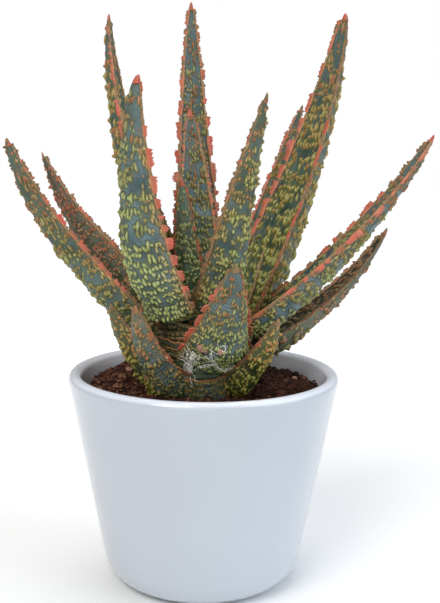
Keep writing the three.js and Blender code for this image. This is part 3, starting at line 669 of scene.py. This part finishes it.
def build_blade(leaf):
    """One leaf: a crescent section swept along its line, from inside the stem to the horny end."""
    random = rnd.Random(BLADE_SEED + leaf.index)
    last = leaf.end * leaf.length
    root_length = max(leaf.foot_r - ROOT_RADIUS, 1.0)
    root_rows = max(6, int(root_length / 0.7))
    area = leaf.length * leaf.width * (1 + 1.25) / (ROW_STEP * COLUMN_STEP)
    coarser = max(1.0, math.sqrt(area / MOST_QUADS))
    rows = int(last / ROW_STEP / coarser)
    x = np.concatenate([-root_length * (1 - np.arange(root_rows) / root_rows), np.linspace(0, last, rows)])
    s = np.clip(x / leaf.length, 0, 1)
    q = np.clip(1 + x / root_length, 0, 1)    # 0 inside the stem, 1 from the leaf's foot on
    w_leaf = wavy_half_width(leaf, x)
    w = ROOT_HALF_WIDTH + (w_leaf - ROOT_HALF_WIDTH) * np.sin(q * math.pi / 2) ** 0.75
    _, over, across = leaf_axes(leaf, s)
    root = leaf.out * ROOT_RADIUS + [0, 0, leaf.foot_z - ROOT_DROP]
    centre = root + (leaf_line(leaf, s) - root) * q[:, None]
    ease = smooth(q)[:, None]
    over = unit(np.array([0.0, 0, 1]) * (1 - ease) + over * ease)
    across = unit(np.array([leaf.out[1], -leaf.out[0], 0]) * (1 - ease) + across * ease)

    # section: the upper face from edge to edge, then the lower face back
    half = float(w_leaf.max())
    n_upper = max(10, int(2 * half / COLUMN_STEP / coarser))
    n_lower = max(12, int(2.5 * half / COLUMN_STEP / coarser))
    u_lower = np.sin(np.linspace(-1, 1, n_lower + 1) * math.pi / 2)[:-1]
    u = np.concatenate([np.linspace(1, -1, n_upper + 1)[:-1], u_lower])
    column = np.arange(len(u))
    sag = (0.12 + 0.4 * (1 - s) ** 2) * w * q
    thick = (0.26 + 0.62 * smooth(s / 0.3)) * w * q + ROOT_THICKNESS * (1 - q)
    belly = (1 - np.abs(u) ** 2.2) ** 0.7
    y = -sag[:, None] * (1 - u**2) - (column >= n_upper) * (thick[:, None] * belly + EDGE_DROP)
    grid = sections(centre, across, over, u * w[:, None], y)
    normal = unit(np.cross(np.gradient(grid, axis=0), np.roll(grid, -1, 1) - np.roll(grid, 1, 1)))

    # spots on each face, spaced by the girth of the row that stands for the whole leaf
    sample = root_rows + rows // 3
    outline = np.stack([u * w[sample], y[sample]], -1)
    walked = np.concatenate([[0], np.cumsum(np.linalg.norm(np.roll(outline, -1, 0) - outline, axis=1))])
    painted = []
    for first, end in ((0, n_upper), (n_upper, len(u))):
        middle, half_girth = (walked[first] + walked[end]) / 2, (walked[end] - walked[first]) / 2
        wrap = half_girth / w[sample]
        spots = leaf_spots(leaf, random, wrap)
        painted.append(paint_spots(spots, x, (walked[first:end] - middle) / half_girth, w, wrap))
    mask, lift, tint = (np.concatenate(p, 1) for p in zip(*painted))

    # relief: spots, long ribs, slow swells and fine cross furrows, fading at the foot, the edge and the tip
    near_edge = np.clip((1 - np.abs(u)) * w[:, None] / 1.2, 0, 1)
    fade = smooth((x + root_length) / 4.0) * (0.25 + 0.75 * smooth((last - x) / 4.0))
    furrow = 4.1 * x + waves(x, FURROW_WAVES + leaf.index, (11, 5), (1.4, 0.9))
    furrow = smooth(0.5 + 0.7 * np.sin(furrow[:, None] + 2.2 * np.sin(2.3 * u)))
    furrow = furrow * leaf.furrows * smooth((1 - s) * 2.5)[:, None]
    rib = 0.10 * np.sin(u * w[:, None] * 1.9 + waves(x, RIB_WAVES + leaf.index, (23,), (1.4,))[:, None])
    swell = waves(x, SWELL_WAVES + leaf.index, (26, 13), (0.16, 0.10))[:, None]
    relief = lift * (0.35 + 0.65 * near_edge) + (rib + swell - 0.12 * furrow) * near_edge
    shape = closed_tube(grid + normal * (relief * fade[:, None])[..., None])
    crowd = np.clip(spread_out(mask, 5) * 2.2, 0, 1)
    layers = {
        "leafmap": channels(mask, tint, s[:, None], np.abs(u), ends=[[0, 0.5, 0, 0], [0, 0.5, 1, 0]]),
        # the third channel of crowdmap is the furrow mask, which the material darkens as painted shade
        "crowdmap": channels(crowd, column > n_upper, furrow, 1.0, ends=[[0, 0.5, 0, 1]] * 2),
    }
    piece = make_object("blade_" + leaf.name, *shape, LEAF_MATERIALS[leaf.look], layers)
    settle(piece, leaf.name != "stub" and "leaf_" + leaf.name)


# ---- leaf margins


def listed_flanges(leaf, side):
    """(start, end, height) of each listed flange: shares of the leaf's length, and mm."""
    rows = (map(int, run.split("-")) for run in FLANGES.get((leaf.name, side), "").split())
    return [(start / 1000, end / 1000, height / 10) for start, end, height in rows]


def flange_runs(leaf, side, random, listed):
    """(start, end, height) in mm of each stretch of flange: the listed ones, and seeded ones elsewhere."""
    length, strength = leaf.length, leaf.strength[side < 0]
    low = min((r[0] for r in listed), default=2.0)
    high = max((r[1] for r in listed), default=-1.0)
    runs = [(a * length, b * length, h) for a, b, h in listed]
    at = random.uniform(0, 3)
    while at < length * 0.985:
        s = at / length
        run = random.choice((2.0, 3.0, 4.0, 5.2, 6.6)) * random.uniform(0.85, 1.15) * (0.7 + 0.4 * strength)
        rest = random.choice((1.0, 1.6, 2.4, 3.8)) * (1.6 - 0.8 * strength)
        height = random.uniform(1.0, 2.7) * (0.45 + 0.55 * strength) * (0.4 + 0.6 * float(smooth(s / 0.12)))
        height = max(height * (1 - 0.35 * s), 0.8)
        if not low - 0.02 < s + 0.5 * run / length < high + 0.02:
            runs.append((at, at + run, height))
        at += run + rest
    return runs


def flange_profile(x, leaf, side, random):
    """Height, presence and tint of one toothed flange along x (mm)."""
    length, listed = leaf.length, listed_flanges(leaf, side)
    present, top, teeth, flush = np.zeros((4, len(x)))
    tint = np.full_like(x, 0.5)
    for start, end, height in flange_runs(leaf, side, random, listed):
        rise = (x - start) / (end - start)
        here = smooth((x - start) / 0.9) * smooth((end - x) / 0.45)
        shape = 0.62 + random.uniform(0.3, 0.6) * np.clip(rise, 0, 1) ** 0.7
        inside = here > present
        present = np.maximum(present, here)
        top = np.where(inside, height * shape * here, top)
        tint = np.where(inside, random.random(), tint)
    # small separate teeth all along, most visible where there is no flange
    at = length * 0.02
    while at < length * 0.985:
        lean = (x - at) / random.uniform(0.6, 1.3)
        bump = np.clip(1 - np.abs(lean - 0.25 * np.sign(lean)), 0, 1) ** 0.7
        bump *= random.choice((0.6, 1.0, 1.4, 1.8, 2.3)) * (1 - 0.3 * (at / length))
        flush = np.where(bump > teeth, random.random(), flush)
        teeth = np.maximum(teeth, bump)
        at += random.uniform(1.0, 2.6)
    # every flange is cut into uneven teeth that lean towards the tip
    cell = x / 1.35 + 0.5 * np.sin(x * 0.8 + random.uniform(0, 6)) + 0.3 * np.sin(x * 1.9)
    cell -= cell.min()
    part = cell % 1.0
    tall = np.array([random.random() for _ in range(int(cell.max()) + 1)])[cell.astype(int)]
    cut = np.clip(np.minimum(part / 0.72, (1 - part) / 0.28), 0, 1)
    if listed:
        teeth = np.where((x > listed[0][0] * length) & (x < listed[-1][1] * length), 0.4 * teeth, teeth)
    height = top * (0.66 + 0.52 * tall * cut) + teeth * (1 - 0.45 * present) + 0.2 * cut + 0.05
    bare = 0.1 + 0.55 * flush * np.clip(teeth, 0, 1) * leaf.strength[side < 0]
    ends = smooth((x + 0.6) / 1.6) * smooth((length * 0.997 - x) / 2.2)
    return height * (0.12 + 0.88 * ends), np.maximum(present, bare), np.where(present > 0.3, tint, flush)


# Half section of a margin, from root to crest: share of the height outwards (the root lies inside the
# leaf) and half thickness in mm where the leaf is wide.
CREST = np.array([-1.0, 0.0, 0.35, 0.7, 0.93, 1.0])
CREST_HALF = np.array([0.62, 0.58, 0.48, 0.38, 0.26, 0.10])


def build_margin(leaf):
    """The margins of both edges and the horny end where they meet, as one piece."""
    random = rnd.Random(MARGIN_SEED + leaf.index)
    last = leaf.end * leaf.length - 0.3
    x = np.linspace(0, last, int(last / MARGIN_STEP))
    s = x / leaf.length
    _, over, across = leaf_axes(leaf, s)
    k = np.clip(half_width(leaf, s) / 8, 0.35, 1.0)[:, None]
    parts = Parts()
    for side in (1, -1):
        height, present, tint = flange_profile(x, leaf, side, random)
        tilt = waves(x, TILT_WAVES + leaf.index + side, (27, 11), (9, 5))
        tilt = np.radians(leaf.flare[side < 0] + tilt)[:, None]
        outward = across * side * np.cos(tilt) + over * np.sin(tilt)
        lift = over * np.cos(tilt) - across * side * np.sin(tilt)
        edge = leaf_line(leaf, s) + across * (side * wavy_half_width(leaf, x))[:, None]
        reach = np.where(CREST < 0, -0.8 * k, CREST * height[:, None])
        # out along one face and back along the other, counterclockwise seen from the foot of the leaf
        xs = np.concatenate([reach, reach[:, ::-1]], 1)[:, ::side]
        ys = np.concatenate([-CREST_HALF * k, CREST_HALF[::-1] * k], 1)[:, ::side]
        rise = np.concatenate([np.clip(CREST, 0, 1), np.clip(CREST, 0, 1)[::-1]])
        shape = closed_tube(sections(edge, outward, lift, xs, ys - 0.15 * k))
        coral = leaf.coral[side < 0] * (1 - 0.4 * smooth((s - 0.7) / 0.15))
        hue = np.clip(coral * (0.75 + 0.35 * smooth(s / 0.5)) + (1 - coral) * (0.9 * tint - 0.55), 0, 1)
        colours = channels(present[:, None], tint[:, None], hue[:, None], rise, ends=np.zeros((2, 4)))
        colours[-2:] = colours[0], colours[-3]
        parts.add(*shape, colours)
    # horny end
    s = np.linspace(leaf.end - 1.2 / leaf.length, 1.0, TIP_ROWS)
    along, over, across = leaf_axes(leaf, s)
    t = (s - s[0]) / (1 - s[0])
    w = (np.maximum(half_width(leaf, s) + 0.28, 0.12) * (1 - smooth((t - 0.8) / 0.2) * 0.55))[:, None]
    cos, sin = circle(TIP_COLUMNS)
    rough = 1 + 0.05 * np.sin(t * 40)[:, None] * (cos**2 - sin**2)
    centre = leaf_line(leaf, s) + along * (0.3 * smooth((t - 0.7) / 0.3))[:, None]
    tip = sections(centre, across, over, w * cos * rough, w * (0.62 * sin * rough - 0.36))
    parts.add(*closed_tube(tip), [1.0, 0.35, leaf.tip, 0.5])
    piece = parts.build("flange_" + leaf.name, CORAL, "marginmap")
    settle(piece, leaf.name != "stub" and "margin_" + leaf.name)


for index, name in enumerate(LEAVES):
    leaf = read_leaf(index, name)
    build_blade(leaf)
    build_margin(leaf)

# ---- clasping leaf bases round the stem

# Azimuth of the middle, half spread in degrees, rim height and radius, how far the rim falls to its
# ends, depth, look, how coral the rim is.
SHEATHS = [
    (228, 52, 132.5, 23.0, 4.0, 9, "olive", 0.6),
    (236, 48, 128.0, 25.0, 3.5, 9, "bark", 0.5),
    (224, 46, 124.0, 26.4, 3.0, 9, "olive", 0.8),
    (236, 44, 120.0, 27.2, 2.0, 9, "bark", 0.7),
    (262, 50, 115.0, 26.4, 3.0, 12, "deep", 0.2),
    (262, 60, 105.6, 25.6, -3.5, 12, "olive", 1.0),
    (320, 50, 124.0, 21.0, 2.5, 10, "deep", 0.3),
    (338, 52, 117.0, 22.6, 3.0, 12, "deep", 0.35),
    (20, 60, 113.0, 21.5, 2.5, 13, "deep", 0.4),
    (60, 60, 108.5, 22.0, 2.5, 13, "olive", 0.5),
    (100, 60, 112.0, 21.5, 2.5, 13, "deep", 0.4),
    (150, 60, 109.0, 22.4, 2.5, 13, "olive", 0.5),
    (186, 50, 114.0, 22.6, 2.5, 13, "deep", 0.4),
]


def sheath_spots(index, length, depth):
    random = rnd.Random(SHEATH_SEED + index)
    spots = []
    for row in range(int(depth / 2.6)):
        for k in range(int(length / 1.5)):
            if random.random() >= 0.2:
                along, across = random.uniform(-0.5, 0.5), random.uniform(-0.1, 0.1)
                spots.append((1.5 * k + along, -0.78 + 5.2 * row / depth + across, random.uniform(0.4, 0.75),
                              random.uniform(0.45, 1.1), 0.4, random.gauss(0.45, 0.3), 0.0, 1.0))
    return spots


def build_sheath(index, middle, spread, rim_z, rim_r, fall, depth, look, coral):
    """A thin clasping base: a band round the stem that leans in towards its foot, with a low rim."""
    columns = int(spread * 2.4)
    t = np.linspace(-1, 1, columns)
    a = np.radians(middle + spread * t)[:, None]
    length = np.radians(spread) * rim_r * (1 + t)
    crown = rim_z - fall * np.abs(t) ** 1.6 + waves(length, RIM_WAVES + index, (17, 7, 3.1), (0.35, 0.22, 0.14))
    close = smooth((1 - np.abs(t)) / 0.08)[:, None]
    down = np.concatenate([[0.0, 0.03, 0.07], np.linspace(0.12, 1, 20)])
    row = np.arange(len(down)) * 1.0
    below = down * depth * (0.25 + 0.75 * close)
    ripple = waves(row, RIPPLE_WAVES + index, (5.3, 3.1), (0.16, 0.10))
    outer = rim_r - SHEATH_LEAN * below + ripple - 1.6 * (1 - close)
    outer[:, 0] -= 0.25
    inner = outer - SHEATH_THICKNESS * (0.35 + 0.65 * smooth(down / 0.2))
    radius = np.concatenate([outer, inner[:, ::-1]], 1)
    height = crown[:, None] - below
    z = np.concatenate([height, height[:, ::-1]], 1)
    shape = closed_tube(np.stack([radius * np.cos(a), radius * np.sin(a), z], -1))
    stripes = 0.5 * smooth(waves(row, STRIPE_WAVES + index, (6.1, 3.7, 2.3), (0.5, 0.5, 0.4)))
    stripes = stripes * (0.6 + 0.4 * np.sin(length[:, None] / 1.3 + index + 0.9 * row))
    if look != "deep":
        spots = sheath_spots(index, length[-1], depth)
        painted = paint_spots(spots, length, 2 * down - 1, np.full(columns, depth / 2), 1.0)
        stripes = np.maximum(stripes, painted[0])
    mask = np.concatenate([stripes, 0 * stripes], 1)
    mask[:, :2], mask[:, 2] = 0.62 * coral, 0.4 * coral
    rim = np.arange(mask.shape[1]) < 2
    colours = channels(mask, np.where(rim, 0.95, 0.75), np.where(rim, 0.9, 0.42), 0.0, ends=np.zeros((2, 4)))
    colours[-2:] = colours[0], colours[-3]
    layers = {"leafmap": colours, "crowdmap": np.full((len(colours), 4), 0.7)}
    piece = make_object(f"sheath_{index}", *shape, LEAF_MATERIALS[look], layers)
    settle(piece)


for index, row in enumerate(SHEATHS):
    build_sheath(index, *row)

# ---- pot

WALL_SLOPE = (POT_RIM_RADIUS - POT_FOOT_RADIUS) / POT_HEIGHT
WALL_ANGLE = math.atan(WALL_SLOPE)
SLANT = 1 / math.cos(WALL_ANGLE)    # horizontal width for each mm square to the wall


def outer_radius(z):
    return POT_FOOT_RADIUS + WALL_SLOPE * z


def inner_radius(z):
    return outer_radius(z) - POT_WALL * SLANT


def arc(cx, cz, radius, start, end, steps):
    t = np.linspace(start, end, steps + 1)
    return [(cx + radius * math.cos(a), cz + radius * math.sin(a)) for a in t]


def line(a, b, steps):
    """The points between a and b, without them."""
    return [tuple(np.array(a) + (np.array(b) - np.array(a)) * k / steps) for k in range(1, steps)]


def pot_profile():
    foot = outer_radius(POT_FOOT_FILLET) - POT_FOOT_FILLET * SLANT
    lip_z = POT_HEIGHT - POT_LIP_ROUND
    lip_out, lip_in = outer_radius(lip_z) - POT_LIP_ROUND * SLANT, inner_radius(lip_z) + POT_LIP_ROUND * SLANT
    inner_z = POT_FLOOR + POT_INNER_FILLET
    inner = inner_radius(inner_z) - POT_INNER_FILLET * SLANT
    quarter = math.pi / 2
    base = arc(foot, POT_FOOT_FILLET, POT_FOOT_FILLET, -quarter, -WALL_ANGLE, 24)
    lip = arc(lip_out, lip_z, POT_LIP_ROUND, -WALL_ANGLE, quarter, 14)
    lip += arc(lip_in, lip_z, POT_LIP_ROUND, quarter, math.pi - WALL_ANGLE, 14)[1:]
    inside = arc(inner, inner_z, POT_INNER_FILLET, -WALL_ANGLE, -quarter, 10)
    profile = [(0, 0), (foot * 0.5, 0)] + base + line(base[-1], lip[0], 14) + lip
    return profile + line(lip[-1], inside[0], 14) + inside + [(inner * 0.5, POT_FLOOR), (0, POT_FLOOR)]


def build_pot():
    """The glazed wall; the map is 1 on the inner wall and 0.6 on top of the lip, where painted light makes the
    glaze whiter.
    """
    points, quads, fans = lathe(pot_profile(), POT_SEGMENTS)
    z = points[:, 2]
    radius = np.linalg.norm(points[:, :2], axis=1)
    inside = smooth((inner_radius(z) + 2.6 - radius) / 2.2) * (z > POT_FLOOR)
    # painted light: the inner wall and the lip top get a whiter glaze
    white = np.maximum(inside, 0.6 * smooth((z - POT_HEIGHT + 2.4) / 1.6))
    layers = {"glazemap": np.stack([white, white, white, np.ones_like(white)], -1)}
    settle(make_object("glazed_pot", points, quads, fans, GLAZE, layers), "pot")


build_pot()

# ---- soil

HEAPS = [(-42, 26, 7.2, 18), (46, 14, 4.0, 19)]    # x, y, height and spread
PEBBLES = [(-38, 14, 1.7), (-34, 10, 1.0), (30, -34, 1.0), (12, 44, 1.6), (-20, 40, 1.3), (46, 8, 1.1)]


def bell(x, y, spread):
    return math.exp(-(x**2 + y**2) / (2 * spread**2))


def soil_z(x, y):
    """The surface: slow swells, clods, grain, a heap on each side, and a sunken edge at the wall."""
    swell = 1.3 * math.sin(x * 0.11 + 0.6) * math.cos(y * 0.09 - 0.4)
    clod = 0.9 * math.sin(x * 0.31 + y * 0.17) * math.sin(y * 0.27 - x * 0.12)
    lumps = noise.fractal(Vector((x * 0.16, y * 0.16, 0.3)), 0.8, 2.2, 4)
    grain = noise.noise(Vector((x * 0.9, y * 0.9, 2.0)))
    heap = sum(height * bell(x - hx, y - hy, spread) for hx, hy, height, spread in HEAPS)
    sunk = 3.2 * float(smooth((math.hypot(x, y) - 46) / 11))
    return SOIL_LEVEL + 0.6 * (swell + clod) + 1.9 * lumps + 0.8 * grain + heap - sunk


def build_soil():
    """A lathed bed whose top points are moved to the surface and out to the wall."""
    edge = inner_radius(SOIL_LEVEL) - SOIL_GAP
    radii = [edge, *np.linspace(edge - 0.7, 8, 84)]
    low, shoulder = POT_FLOOR + 0.4, SOIL_LEVEL - 4
    profile = [(0, low), (30, low), (44, POT_FLOOR + 3), (inner_radius(15) - 0.7, 15.5)]
    profile += [(inner_radius(shoulder) - SOIL_GAP, shoulder)]
    profile += [(r, SOIL_LEVEL) for r in radii] + [(0, SOIL_LEVEL)]
    points, quads, fans = lathe(profile, SOIL_SEGMENTS)
    for i in np.nonzero(points[:, 2] > SOIL_LEVEL - 0.5)[0]:
        x, y = points[i, :2]
        r = math.hypot(x, y)
        points[i, 2] = soil_z(x, y) - 0.8 * float(smooth((r - edge + 3) / 3))
        points[i, :2] *= 1 + smooth(r / edge - 0.3) * (inner_radius(points[i, 2]) - SOIL_GAP - edge) / edge
    settle(make_object("soil_bed", points, quads, fans, PEAT), "soil")


def unit_ball(subdivisions):
    ball = bmesh.new()
    bmesh.ops.create_icosphere(ball, subdivisions=subdivisions, radius=1.0)
    shape = np.array([v.co[:] for v in ball.verts]), np.array([[v.index for v in f.verts] for f in ball.faces])
    ball.free()
    return shape


TINY_BALL, SMALL_BALL, LARGE_BALL = unit_ball(1), unit_ball(2), unit_ball(3)


def lump(random, size, ball, rough):
    """A small irregular lump round the origin: (points, triangles)."""
    base, faces = ball
    offset = Vector([random.uniform(0, 90) for _ in range(3)])
    factor = np.array([
        1 + rough * noise.noise(Vector(p) * 1.7 + offset) + 0.35 * rough * noise.noise(Vector(p) * 4.5 + offset)
        for p in base
    ])
    stretch = np.array([random.uniform(0.7, 1.3), random.uniform(0.7, 1.3), random.uniform(0.5, 0.9)])
    points = base * factor[:, None] * stretch * size
    a = random.uniform(*ANY_PHASE)
    turn = np.array([[math.cos(a), -math.sin(a), 0], [math.sin(a), math.cos(a), 0], [0, 0, 1]])
    return points @ turn.T, faces


def lump_on_soil(random, x, y, size, ball, rough, raised):
    points, faces = lump(random, size, ball, rough)
    return points + np.array([x, y, soil_z(x, y) + size * raised]), [], faces


def build_crumbs():
    """Crumbs and clods all over the soil, lighter on the left, and a few pale pebbles."""
    random = rnd.Random(CRUMB_SEED)
    parts = Parts()
    for k in range(CRUMBS_IN_ALL):
        clod = k < CLODS
        size = random.uniform(1.4, 2.7) if clod else min(1.7, random.lognormvariate(-0.65, 0.42))
        ball = LARGE_BALL if clod else SMALL_BALL if size > 0.55 else TINY_BALL
        r = (inner_radius(SOIL_LEVEL) - 0.7 - size) * math.sqrt(random.uniform(0.14, 1.0))
        a = random.uniform(0, 2 * math.pi)
        x, y = r * math.cos(a), r * math.sin(a)
        crumb = lump_on_soil(random, x, y, size, ball, *((0.8, 0.05) if clod else (0.6, 0.2)))
        light = 0.42 * bell(x + 44, y + 4, 17) - 0.1 * float(smooth((x - 15) / 20))
        tint = min(1.0, max(0.0, random.betavariate(2, 3.2) * (0.7 if clod else 1.0) + light))
        parts.add(*crumb, [tint, 0.0, 0, 1])
    for x, y, size in PEBBLES:
        parts.add(*lump_on_soil(random, x, y, size, LARGE_BALL, 0.5, 0.5), [0.8, 0.75, 0, 1])
    settle(parts.build("soil_crumbs", CRUMBS, "crumbmap"))


build_soil()
build_crumbs()

# ---- stem

STEM_WALL = [(6.2 + 0.25 * math.sin(z * 1.3), z) for z in np.linspace(71, 112, 42)]
STEM_PROFILE = [(0, 70.4), (6.0, 70.4)] + STEM_WALL + [(4.0, 126), (2.2, 135.6), (0, 136)]
settle(make_object("short_stem", *lathe(STEM_PROFILE, STEM_SEGMENTS), BARK), "stem")

# ---- cottony threads and dry flakes

# Lines of white threads on the foot of the front leaf, as (x, z) points; y comes from the surface.
THREADS = [
    [(-3.5, 110.9), (-2.1, 112.7), (0.2, 114.2), (3.4, 115.2), (5.7, 114.2), (7.6, 112.3), (9.4, 110.9),
     (11.7, 111.8), (14.5, 113.2)],
    [(-3.0, 110.2), (-1.0, 112.9), (1.4, 113.6), (4.0, 114.5), (6.8, 112.6), (8.6, 111.6), (12.2, 112.6)],
    [(2.9, 124.2), (3.3, 121.4), (3.6, 118.0), (4.3, 115.4)],
    [(3.6, 122.6), (2.6, 119.6), (4.4, 117.2), (3.4, 115.0)],
    [(6.6, 124.6), (8.4, 125.4), (9.8, 124.2), (9.2, 122.6), (7.4, 122.4), (6.6, 124.0)],
    [(-11.8, 117.2), (-10.0, 116.4), (-8.1, 115.2), (-6.7, 112.3)],
    [(-12.4, 115.6), (-9.4, 114.6), (-7.4, 112.6), (-6.2, 109.0)],
    [(-17.8, 117.8), (-16.9, 117.2), (-15.8, 117.6)],
    [(-2.6, 117.6), (0.4, 118.9), (2.2, 117.8), (3.4, 116.4)],
]
BRANCHING, BRANCHES = 6, 5          # how many of the first threads have side branches, and how many each
COTTON = (-6.4, 114.0, 1.9, 4.4)    # middle x and z, and spread in x and z, of the tangled tuft
COTTON_THREADS = 46
FLAKES = [(-1.2, 123.2, 2.1), (0.6, 122.4, 1.2), (7.6, 122.3, 1.2), (-17.0, 117.6, 0.8), (-6.2, 108.6, 1.0)]

bpy.context.view_layer.update()
FRONT_PIECES = [o for o in bpy.data.objects if o.name.startswith(("blade_front", "blade_low_", "sheath_"))]


def front_surface(x, z, gap):
    """The y of the first surface met from the front at (x, z) in mm, less a gap."""
    start, ahead = Vector((x, -120, z)) * MM, Vector((0, 1, 0))
    hits = [piece.ray_cast(start, ahead) for piece in FRONT_PIECES]
    near = [place.y / MM for found, place, _, _ in hits if found]
    return min(near) - gap if near else -20.0


def thread(path, random, radius):
    """(points, quads, triangles) of a wiggly thread through (x, z) points, laid on the surface."""
    path = np.asarray(path, float)
    at = np.linspace(0, len(path) - 1, max(8, 5 * len(path)))
    k = np.clip(at.astype(int), 0, len(path) - 2)
    f = smooth(at - k)[:, None] * 0.5 + (at - k)[:, None] * 0.5
    run = path[k] * (1 - f) + path[k + 1] * f
    run += np.array([[random.gauss(0, 0.16), random.gauss(0, 0.16)] for _ in run])
    centre = np.array([[x, front_surface(x, z, random.uniform(0.1, 0.5)), z] for x, z in run])
    ahead = unit(np.gradient(centre, axis=0))
    side = unit(np.cross(ahead, [0, 1.0, 0.01]))
    cos, sin = circle(THREAD_SIDES)
    size = radius * (1 - 0.6 * np.abs(np.linspace(-1, 1, len(centre))) ** 3)[:, None]
    return closed_tube(sections(centre, side, np.cross(side, ahead), size * cos, -size * sin))


def build_threads():
    random = rnd.Random(THREAD_SEED)
    parts = Parts()
    lines = [(path, THREAD_RADIUS * 1.25) for path in THREADS]
    x0, z0, wide, high = COTTON
    for _ in range(COTTON_THREADS):
        x, z = random.gauss(x0, wide * 0.7), random.gauss(z0, high * 0.5)
        path = [(x, z)]
        for _ in range(random.randint(3, 5)):
            x, z = x + random.gauss(0, 0.9), z + random.gauss(0, 1.5)
            path.append((x, z))
        lines.append((path, THREAD_RADIUS * random.uniform(0.55, 0.95)))
    for path in THREADS[:BRANCHING]:
        for _ in range(BRANCHES):
            branch = [random.choice(path)]
            for _ in range(2):
                branch.append((branch[-1][0] + random.gauss(0, 1.0), branch[-1][1] + random.gauss(0, 1.0)))
            lines.append((branch, THREAD_RADIUS * 0.6))
    for path, radius in lines:
        parts.add(*thread(path, random, radius), [1.0] * 4)
    settle(parts.build("pale_threads", THREAD, "threadmap"))


def build_flakes():
    """Dry flakes: lumps pressed flat against the surface."""
    random = rnd.Random(FLAKE_SEED)
    parts = Parts()
    for x, z, size in FLAKES:
        points, faces = lump(random, size, LARGE_BALL, 0.9)
        points = points[:, [0, 2, 1]] * np.array([1.0, 0.45, 0.8]) + np.array([x, front_surface(x, z, 0.2), z])
        parts.add(points, [], faces[:, ::-1], [0.9, 0.8, 0, 1])
    settle(parts.build("dry_flakes", CRUMBS, "crumbmap"))


build_threads()
build_flakes()

# ---- stage, lights and camera

FLOOR_HALF = 6000
FLOOR_POINTS = [(x * FLOOR_HALF, y * FLOOR_HALF, 0) for x, y in ((-1, -1), (1, -1), (1, 1), (-1, 1))]
floor = make_object("floor", FLOOR_POINTS, [(0, 1, 2, 3)], [], PAPER)

# Soft suns: name, where the light comes from, strength, spread in degrees, colour.
SUNS = [
    ("key", (-0.5, -0.75, 1.05), 1.3, 28, (1.0, 0.97, 0.91)),
    ("fill", (1.0, -0.35, 0.7), 1.25, 50, (0.79, 0.89, 1.0)),
    ("front", (-0.2, -1.0, 0.25), 0.42, 40, (1.0, 0.98, 0.95)),
    ("top", (0.05, 0.35, 1.0), 0.9, 45, (1.0, 1.0, 1.0)),
]
scene = bpy.context.scene
for name, direction, strength, spread, colour in SUNS:
    data = bpy.data.lights.new(name, "SUN")
    data.energy, data.angle, data.color = strength, math.radians(spread), colour
    light = bpy.data.objects.new(name, data)
    light.rotation_mode = "QUATERNION"
    light.rotation_quaternion = (-Vector(direction)).to_track_quat("-Z", "Y")
    light.location = Vector(direction).normalized() * 3
    scene.collection.objects.link(light)

# A dim sky lights the scene, and the camera sees plain white in its place.
world = bpy.data.worlds.new("studio")
world.use_nodes = True
scene.world = world
nodes, links = world.node_tree.nodes, world.node_tree.links
sky = next(n for n in nodes if n.type == "BACKGROUND")
sky.inputs["Color"].default_value = (0.97, 0.98, 1.0, 1)
sky.inputs["Strength"].default_value = 0.4
white = nodes.new("ShaderNodeBackground")
white.inputs["Color"].default_value = (1, 1, 1, 1)
seen = nodes.new("ShaderNodeLightPath")
either = nodes.new("ShaderNodeMixShader")
for source, target in zip((seen.outputs["Is Camera Ray"], sky.outputs[0], white.outputs[0]), either.inputs):
    links.new(source, target)
links.new(either.outputs[0], next(n for n in nodes if n.type == "OUTPUT_WORLD").inputs["Surface"])

scene.view_settings.view_transform = "Standard"
scene.view_settings.look = "None"

# The camera as fitted to the photo: place in metres, angles in degrees, focal length and height in pixels.
CAMERA_PLACE = (0.0, -0.445, 0.2066)
CAMERA_YAW, CAMERA_PITCH, CAMERA_ROLL = 0.97, 8.6, 0.75
FOCAL_PIXELS, PHOTO_HEIGHT = 912, 603
SENSOR = 36

yaw, pitch, roll = (math.radians(a) for a in (CAMERA_YAW, CAMERA_PITCH, CAMERA_ROLL))
forward = Vector((math.sin(yaw) * math.cos(pitch), math.cos(yaw) * math.cos(pitch), -math.sin(pitch)))
level = Vector((math.cos(yaw), -math.sin(yaw), 0))
raised = level.cross(forward)
right = level * math.cos(roll) + raised * math.sin(roll)
up = raised * math.cos(roll) - level * math.sin(roll)
lens = bpy.data.cameras.new("camera")
lens.sensor_width = SENSOR
lens.lens = FOCAL_PIXELS / PHOTO_HEIGHT * SENSOR
lens.clip_start, lens.clip_end = 0.02, 30
camera = bpy.data.objects.new("camera", lens)
camera.matrix_world = Matrix.Translation(CAMERA_PLACE) @ Matrix((right, up, -forward)).transposed().to_4x4()
scene.collection.objects.link(camera)
scene.camera = camera
